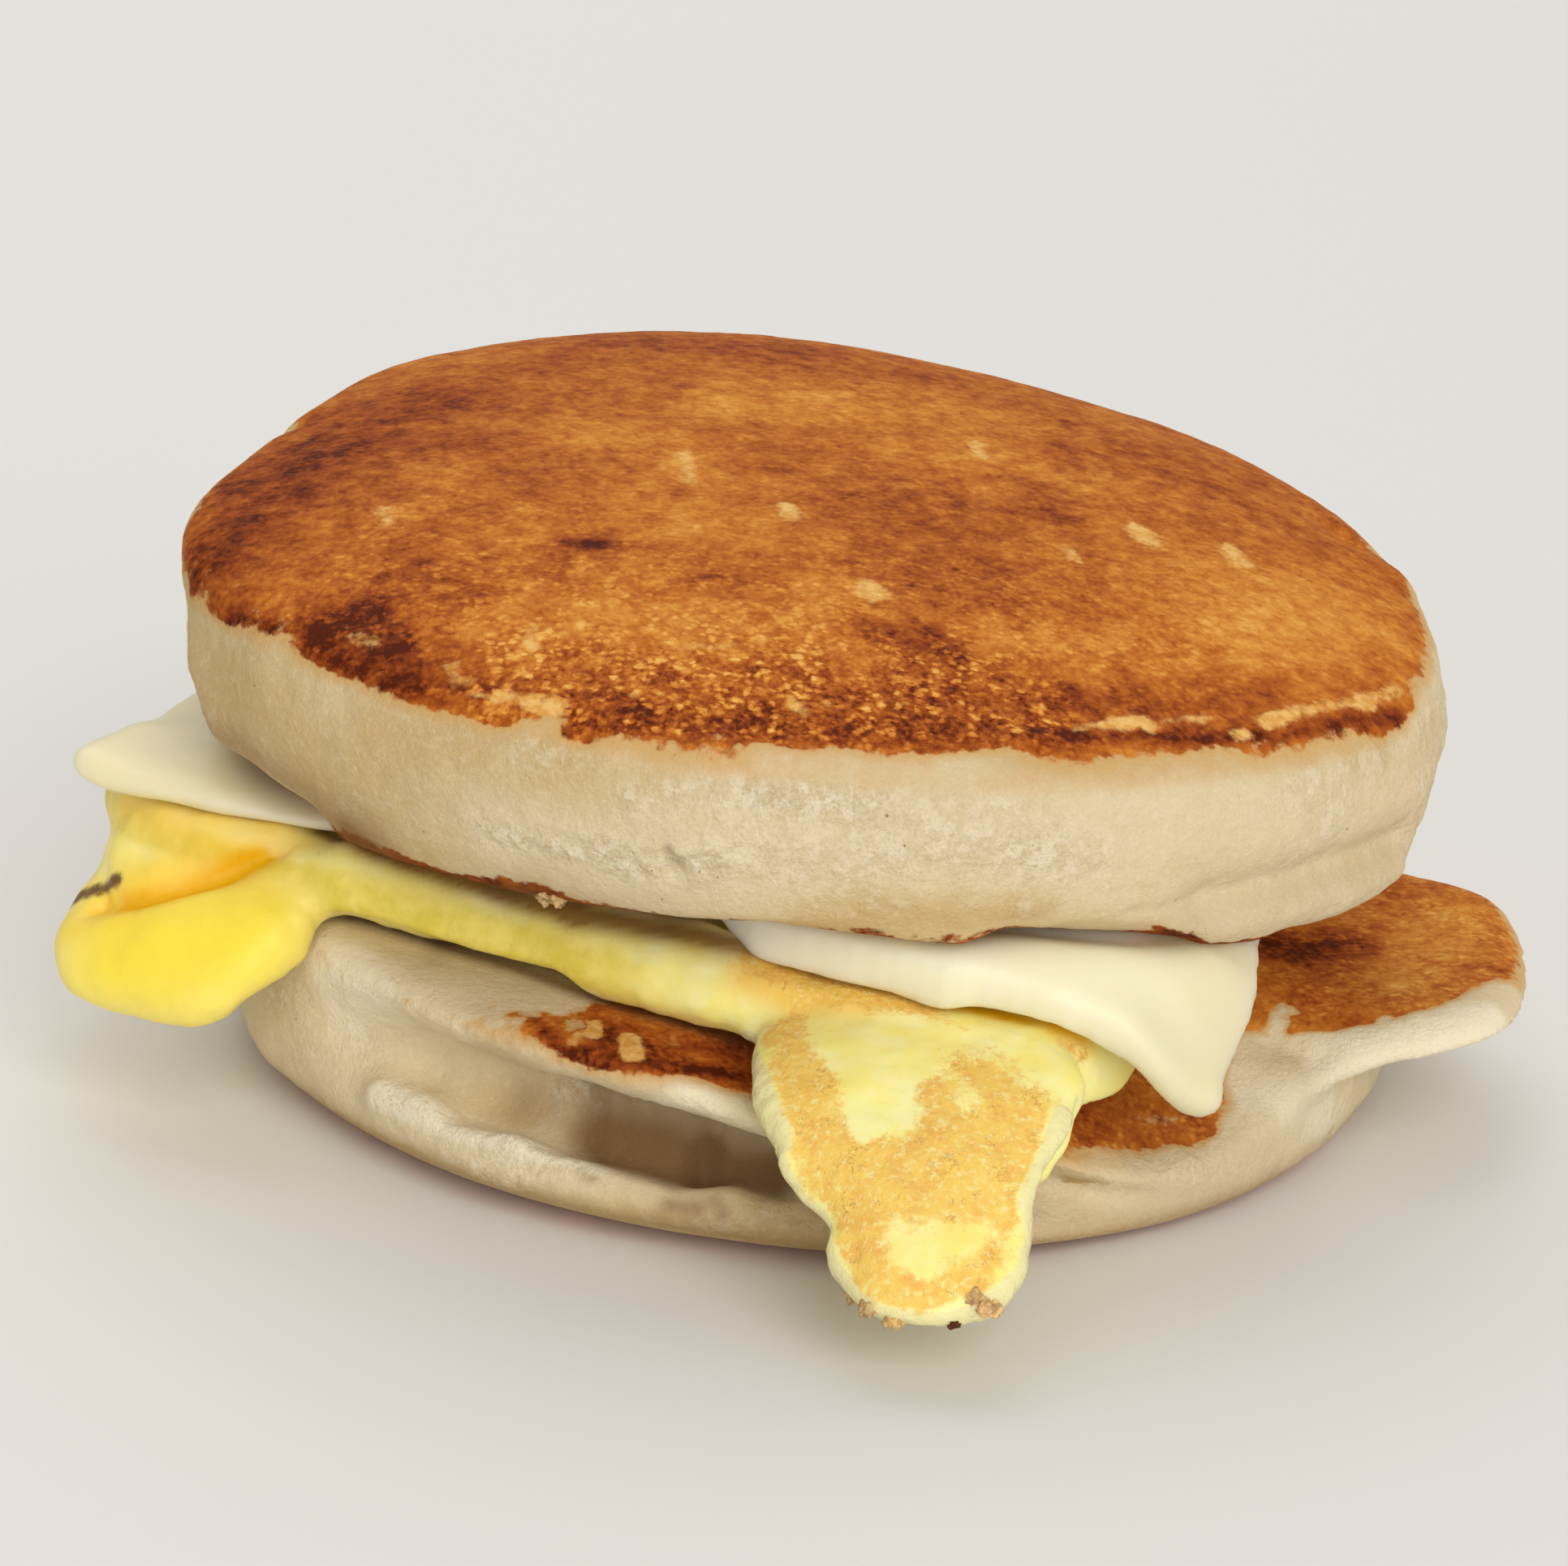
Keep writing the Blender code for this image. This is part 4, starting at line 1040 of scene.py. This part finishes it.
foldedEgg = {
    "rounding": 0,
    "net": 0.45,
    "passes": 12,
    "lumps": ((6.0, 0.22), (2.6, 0.14), (1.1, 0.05)),
    "grain": (0.6, 0.02),
    "flapEdge": (36.0, 40.0),       # mm in front of the origin where the flap begins
    "flapSunk": 0.35,               # mm that the flap lies below its rim
    "flapFacing": (0.2, 0.6),
    "bead": (0.12, 0.16, 0.8),      # the rim's height, its ruffles' height and size, in mm
    "topFacing": (0.1, 0.6),
    "sideFacing": (0.45, 0.85),
    "tongueEdge": (33.0, 37.0),     # mm left of the origin where the tongue begins
    "tongueTop": (17.5, 19.5),      # mm above the origin where it ends
    "tanMost": 0.9,
    "rimTan": 0.8,                  # share of the tan that the rim loses
    "shadowUnderCakeMost": 0.9,
    "carved": (
        (-1.3, 0.9, [(100, 1112), (170, 1106), (240, 1086), (310, 1056), (340, 1042)]),
        (0.6, 2.0, [(150, 1040), (230, 1020), (330, 1022)]),
        (0.4, 3.0, [(200, 1150), (300, 1140)]),
        (1.0, 1.8, [(366, 1168), (380, 1148)]),
        (0.3, 1.5, [(352, 1200)]),
        (-0.5, 2.0, [(240, 1275), (300, 1250)]),
        (-1.6, 1.8, [(425, 1145), (500, 1168), (600, 1198), (680, 1222)]),
        (0.7, 1.4, [(1272, 1535), (1262, 1570)]),
        (-1.5, 1.5, [(1343, 1375), (1336, 1410), (1312, 1455), (1292, 1478)]),
    ),
    # mm that the edge lies further right
    "tucked": (
        (1.9, 2.6, [(90, 1068), (88, 1090)]),
        (0.8, 1.5, [(125, 985)]),
        (-1.1, 1.4, [(985, 1440), (998, 1474)]),
        (-0.9, 1.4, [(1030, 1546), (1038, 1562)]),
    ),
    # mm that the top bulges up below the upper cake's edge
    "raised": (
        (1.2, 2.2, [(440, 1062), (520, 1085), (600, 1108), (680, 1128), (760, 1142),
                    (850, 1160), (910, 1176)]),
    ),
    # mm that the right corner droops
    "lowered": (
        (2.0, 2.4, [(1345, 1335), (1378, 1315)]),
    ),
    # The flap's rim, as it shows
    "rimLine": [
        (925, 1290), (935, 1340), (960, 1400), (985, 1450), (1010, 1500), (1040, 1560), (1065, 1605),
        (1100, 1638), (1145, 1643), (1190, 1632), (1228, 1608), (1262, 1570), (1272, 1530),
        (1270, 1480), (1290, 1445), (1308, 1405), (1316, 1375),
    ],
    "rimWidth": 0.95,
    "rimFade": (0.7, 1.5),          # shares of that width where the rim is whole and where it ends
    "tan": (
        (0.75, 1.5, [(955, 1275), (975, 1262)]),
        (1.1, 1.8, [(945, 1195), (1000, 1212), (1080, 1228), (1140, 1234)]),
        (0.40, 0.8, [(1175, 1262), (1190, 1268)]),
        (0.85, 2.2, [(965, 1310), (985, 1350), (1005, 1400), (1045, 1440)]),
        (0.80, 3.0, [(1060, 1430), (1120, 1420), (1200, 1400)]),
        (0.85, 2.6, [(1215, 1320), (1250, 1350), (1255, 1400), (1230, 1440)]),
        (0.80, 3.0, [(1070, 1480), (1140, 1470), (1200, 1465)]),
        (0.80, 1.5, [(1150, 1345), (1160, 1375)]),
        (0.80, 1.6, [(1050, 1530), (1065, 1570), (1085, 1595)]),
        (0.85, 1.8, [(1110, 1590), (1160, 1590), (1215, 1570)]),
        (0.55, 1.0, [(1225, 1530), (1245, 1500)]),
        (0.55, 1.0, [(1310, 1280), (1335, 1285)]),
        (-0.60, 1.6, [(1040, 1290), (1080, 1340), (1105, 1370)]),
        (0.45, 1.2, [(990, 1285), (1020, 1335)]),
        (-0.65, 1.1, [(1064, 1386), (1056, 1408)]),
        (-0.45, 0.8, [(1180, 1335), (1188, 1375)]),
        (-0.40, 0.7, [(1012, 1424), (1040, 1440)]),
        (-0.35, 0.6, [(1120, 1425), (1150, 1418)]),
        (-0.40, 0.8, [(1108, 1545), (1128, 1556)]),
        (-0.20, 1.1, [(1150, 1535), (1180, 1528)]),
        (-0.40, 0.8, [(1208, 1518), (1230, 1512)]),
        (-0.45, 0.7, [(1138, 1566)]),
    ),
    "orange": (
        (0.85, 1.7, [(925, 1205), (970, 1222), (1040, 1232), (1110, 1228)]),
        (0.55, 2.0, [(165, 985), (220, 1010), (330, 1018)]),
        (0.6, 0.7, [(1300, 1270), (1335, 1272)]),
    ),
    # Painted shade, deep golden, in the crease above the tongue and along the cheese's edge; the wide
    # stroke low on the flap only makes it more golden
    "deep": (
        (0.9, 0.8, [(150, 1110), (205, 1102), (260, 1080), (318, 1052)]),
        (0.55, 2.4, [(105, 1112), (180, 1098), (260, 1072), (330, 1048)]),
        (0.7, 0.6, [(1130, 1222), (1180, 1240), (1260, 1258), (1330, 1268)]),
        (0.5, 0.8, [(1300, 1265), (1345, 1272)]),
        (0.20, 2.2, [(1090, 1545), (1150, 1535), (1200, 1520)]),
        (0.7, 1.2, [(960, 1192), (1050, 1208), (1150, 1230), (1250, 1252)]),
    ),
    # Painted shadow: dark brown on the egg under the upper cake's edge
    "toasted": (
        (1.1, 1.0, [(712, 1128), (760, 1136), (831, 1148), (888, 1160), (925, 1168)]),
        (1.1, 0.9, [(400, 1026), (451, 1043), (554, 1080), (640, 1108), (700, 1124)]),
    ),
    "tongue": (
        (1.0, 9.0, [(150, 1180), (300, 1160)]),
    ),
    # The tongue's edge
    "tonguePale": (
        (0.8, 1.6, [(75, 1180), (110, 1235), (190, 1262), (270, 1255), (340, 1220),
                    (380, 1170), (392, 1125)]),
    ),
    "burnt": (
        (1.0, 0.75, [(84, 1110), (112, 1098), (144, 1084)]),
    ),
}


def buildEgg():
    piece = evenSkin("folded_egg", "foldedEgg", foldedEgg)
    mesh = piece.data
    tree = treeOf(mesh)
    points = pointsOf(mesh)
    normals = normalsOf(mesh)
    paint = brushFor(points, tree, foldedEgg)
    whole, gone = (foldedEgg["rimWidth"] * share for share in foldedEgg["rimFade"])
    onFlap = smooth(-points[:, 1] / mm, *foldedEgg["flapEdge"])
    rim = (1.0 - smooth(strokeGap(points, tree, foldedEgg["rimLine"]) / mm, whole, gone)) * onFlap
    bead, ruffle, size = foldedEgg["bead"]
    height = relief(points, foldedEgg)
    height += rim * (bead + ruffle * rough(points, size, seed=21, octaves=2))
    facingFront = smooth(-normals[:, 1], *foldedEgg["flapFacing"])
    height -= foldedEgg["flapSunk"] * onFlap * (1.0 - rim) * facingFront
    height += paint("carved")
    moved = points + normals * height[:, None] * mm
    moved[:, 2] += paint("raised") * smooth(normals[:, 2], *foldedEgg["topFacing"]) * mm
    moved[:, 2] -= paint("lowered") * mm
    moved[:, 0] += paint("tucked") * mm
    movePoints(mesh, moved)
    relax(mesh, 1)
    paintMoved = brushFor(pointsOf(mesh), treeOf(mesh), foldedEgg)
    side = (1.0 - smooth(np.abs(normals[:, 2]), *foldedEgg["sideFacing"])) * (1.0 - onFlap)
    low, high = foldedEgg["tongueTop"]
    onTongue = smooth(-points[:, 0] / mm, *foldedEgg["tongueEdge"])
    tongue = np.clip(paint("tongue"), 0, 1) * (onTongue * smooth(-points[:, 2] / mm, -high, -low))
    store(
        mesh,
        rim=rim,
        side=side * (1.0 - tongue),
        tongue=tongue,
        tan=np.minimum(paint("tan"), foldedEgg["tanMost"]) * (1.0 - foldedEgg["rimTan"] * rim),
        deep=np.clip(paint("deep"), 0, 1),
        toasted=np.clip(paintMoved("toasted"), 0, foldedEgg["shadowUnderCakeMost"]),
        orange=np.clip(paint("orange"), 0, 1),
        tonguePale=np.clip(paint("tonguePale"), 0, 1) * tongue,
        burnt=paintMoved("burnt"),
    )
    return piece


cheeseLook = {
    "surface": {
        "Subsurface Weight": 0.55,
        "Subsurface Scale": 0.006,
        "Subsurface Radius": (1.0, 0.8, 0.45),
        "Roughness": 0.36,
        "Specular IOR Level": 0.40,
    },
    "body": (0.80, 0.715, 0.490),
    "thin": (0.79, 0.70, 0.430),
    # Painted light: the lit band in front of the upper cake, where the cheese is also thicker
    "bright": (0.97, 0.885, 0.64),
    "bump": 0.5,
    "grains": {
        "thin": (9.0, 3, 0.5),
        "soft": (1.6, 3, 0.5, 1.5),
        "fine": (0.5, 2, 0.5, 2.5),
    },
    "ruffles": {"relief": ((0.05, "soft"), (0.02, "fine"))},
    "edges": {"thin": (0.35, 0.75)},
}

cheeseSlice = {
    "rounding": 2,
    "net": 0.45,
    "passes": 14,
    "lumps": ((14.0, 0.22), (5.0, 0.05)),
    "grain": (2.0, 0.012),
    "underFacing": (-0.2, 0.6),
    "carved": (
        (0.35, 1.4, [(1385, 1262), (1430, 1310), (1478, 1365)]),
        (-0.25, 1.8, [(1420, 1255), (1470, 1310)]),
        (0.9, 1.2, [(1500, 1366)]),
    ),
    # mm that the top bulges up, most of it along the upper cake's edge
    "raised": (
        (3.4, 2.2, [(1230, 1148), (1300, 1150), (1400, 1156), (1490, 1161)]),
        (0.9, 2.6, [(108, 930), (150, 905)]),
        (2.0, 3.4, [(900, 1148), (1000, 1165), (1100, 1180), (1200, 1192), (1300, 1200),
                    (1400, 1210), (1480, 1210)]),
    ),
    # mm that the front edge hangs down onto the egg
    "hanging": (
        (1.2, 2.0, [(900, 1170), (1000, 1190), (1100, 1210), (1200, 1228), (1300, 1240), (1380, 1262)]),
        (1.0, 2.4, [(940, 1175), (1040, 1195), (1140, 1215)]),
    ),
    # Painted light along the band in front of the upper cake, where the cheese is also thicker
    "bright": (
        (1.0, 5.0, [(900, 1150), (1000, 1165), (1150, 1185), (1300, 1200), (1350, 1205)]),
    ),
    # mm that the edge lies further in
    "drawnIn": (
        (2.6, 3.5, [(120, 985), (200, 1004), (300, 1022)]),
        (-1.3, 3.0, [(105, 925)]),
        (-1.7, 2.8, [(950, 1175), (1050, 1195), (1150, 1215)]),
        (-0.8, 2.8, [(1230, 1238), (1290, 1250)]),
        (3.4, 4.0, [(400, 1044), (560, 1090), (700, 1130), (830, 1165)]),
    ),
}


def cheeseMaterial(name, look):
    r = Recipe(name, look)
    colour = r.blend(r.patches("thin"), look["body"], look["thin"])
    # Painted light brightens the band in front of the upper cake
    r.feed(r.surface.inputs["Base Color"], r.blend(r.field("bright"), colour, look["bright"]))
    r.bump(r.ruffled(0.0, "relief"), look["bump"])
    return r.material


def buildCheese():
    piece = evenSkin("cheese_slice", "cheeseSlice", cheeseSlice)
    mesh = piece.data
    points = pointsOf(mesh)
    normals = normalsOf(mesh)
    paint = brushFor(points, treeOf(mesh), cheeseSlice)
    height = relief(points, cheeseSlice) + paint("carved")
    moved = points + normals * height[:, None] * mm
    moved[:, 2] += paint("raised") * mm
    inward = points[:, :2].mean(axis=0) - points[:, :2]
    inward /= np.maximum(np.linalg.norm(inward, axis=1), 1e-6)[:, None]
    moved[:, :2] += inward * paint("drawnIn")[:, None] * mm
    moved[:, 2] -= paint("hanging") * smooth(-normals[:, 2], *cheeseSlice["underFacing"]) * mm
    movePoints(mesh, moved)
    relax(mesh, 2)
    store(mesh, bright=np.clip(paint("bright"), 0, 1))
    return piece


# Loose crumbs: the piece they sit on, their width in mm, their colour and the pixels they show at
crumbs = {
    "tipCrumbLeft": ("folded_egg", 1.0, (0.66, 0.45, 0.20), [(1050, 1602), (1062, 1616), (1056, 1626)]),
    "tipCrumbRight": ("folded_egg", 1.1, (0.86, 0.56, 0.24), [(1200, 1600), (1212, 1610), (1224, 1612)]),
    "tipCrumbLow": ("folded_egg", 0.8, (0.80, 0.52, 0.20), [(1092, 1638), (1104, 1643)]),
    "burntCrumb": ("folded_egg", 0.55, (0.14, 0.05, 0.015), [(1174, 1640), (1180, 1641)]),
    "edgeCrumb": ("upper_cake", 1.2, (0.60, 0.40, 0.18), [(670, 1112), (686, 1114)]),
}

crumbLook = {
    "surface": {"Roughness": 0.8, "Specular IOR Level": 0.1},
    "grains": {"shade": (0.5, 3)},
    "edges": {"shade": (0.4, 0.6)},
    "shade": 0.55,          # share of the colour that the dark grains keep
    "lumpHeight": 0.35,     # both as shares of the crumb's width
    "lumpSize": 0.45,
    "rounds": 4,
}


def buildCrumb(name, pixels, width, tree, colour):
    bm = bmesh.new()
    for pixel in pixels:
        place = Matrix.Translation(landOn(tree, pixel))
        bmesh.ops.create_icosphere(bm, subdivisions=crumbLook["rounds"], radius=width / 2 * mm,
                                   matrix=place)
    mesh = bpy.data.meshes.new(name)
    bm.to_mesh(mesh)
    bm.free()
    points = pointsOf(mesh)
    lumps = crumbLook["lumpHeight"] * width * rough(points, crumbLook["lumpSize"] * width, seed=31)
    movePoints(mesh, points + normalsOf(mesh) * lumps[:, None] * mm)
    piece = bpy.data.objects.new(name, mesh)
    bpy.context.scene.collection.objects.link(piece)
    r = Recipe(name, crumbLook)
    shade = [channel * crumbLook["shade"] for channel in colour]
    r.feed(r.surface.inputs["Base Color"], r.blend(r.patches("shade"), colour, shade))
    return piece, r.material


# A pale floor and soft studio light
studio = {
    "floor": {"surface": {"Base Color": (0.80, 0.79, 0.77, 1.0), "Roughness": 0.6}},
    "floorSize": 8.0,
    "floorDrop": 0.0002,
    "sky": (1.0, 0.985, 0.96, 1.0),
    "skyStrength": 0.46,
    "lampDistance": 0.5,
    # direction it comes from, width in degrees, strength, colour
    "lamps": (
        ("key", (0.33, -0.78, 0.55), 45, 1.55, (1.0, 0.98, 0.94)),
        ("front", (-0.15, -0.97, 0.20), 40, 0.45, (1.0, 0.98, 0.94)),
        ("back", (-0.15, 0.60, 0.90), 50, 0.80, (1.0, 0.98, 0.95)),
    ),
}


def addStudio():
    bm = bmesh.new()
    bmesh.ops.create_grid(bm, x_segments=2, y_segments=2, size=studio["floorSize"] / 2)
    bmesh.ops.translate(bm, verts=bm.verts, vec=(0.0, 0.0, -studio["floorDrop"]))
    mesh = bpy.data.meshes.new("floor")
    bm.to_mesh(mesh)
    bm.free()
    floor = bpy.data.objects.new("floor", mesh)
    bpy.context.scene.collection.objects.link(floor)
    mesh.materials.append(Recipe("paleFloor", studio["floor"]).material)
    world = bpy.data.worlds.new("studio")
    world.use_nodes = True
    sky = world.node_tree.nodes["Background"].inputs
    sky["Color"].default_value = studio["sky"]
    sky["Strength"].default_value = studio["skyStrength"]
    bpy.context.scene.world = world
    for name, direction, width, strength, colour in studio["lamps"]:
        lamp = bpy.data.lights.new(name, "SUN")
        lamp.angle = math.radians(width)
        lamp.energy = strength
        lamp.color = colour
        light = bpy.data.objects.new(name, lamp)
        light.location = Vector(direction) * studio["lampDistance"]
        light.rotation_euler = Vector(direction).to_track_quat("Z", "Y").to_euler()
        bpy.context.scene.collection.objects.link(light)
    bpy.context.scene.view_settings.view_transform = "Standard"


addCamera()
addStudio()
print("studio ready")

crust = griddleMaterial("griddledCake", griddleLook)
trees = {}
for node, slot, build, material in (
    ("upper_cake", "griddle_cake", buildUpperCake, crust),
    ("lower_cake", "griddle_cake", buildLowerCake, crust),
    ("folded_egg", "cooked_egg", buildEgg, eggMaterial("friedEgg", eggLook)),
    ("cheese_slice", "cheese", buildCheese, cheeseMaterial("softCheese", cheeseLook)),
):
    piece = build()
    finishPiece(piece, node, material)
    trees[node] = treeOf(piece.data)
    print(node, "done,", len(piece.data.polygons), "faces")
for name, (carrier, width, colour, pixels) in crumbs.items():
    crumb, crumbMaterial = buildCrumb(name, pixels, width, trees[carrier], colour)
    finishPiece(crumb, None, crumbMaterial)
print("crumbs done")
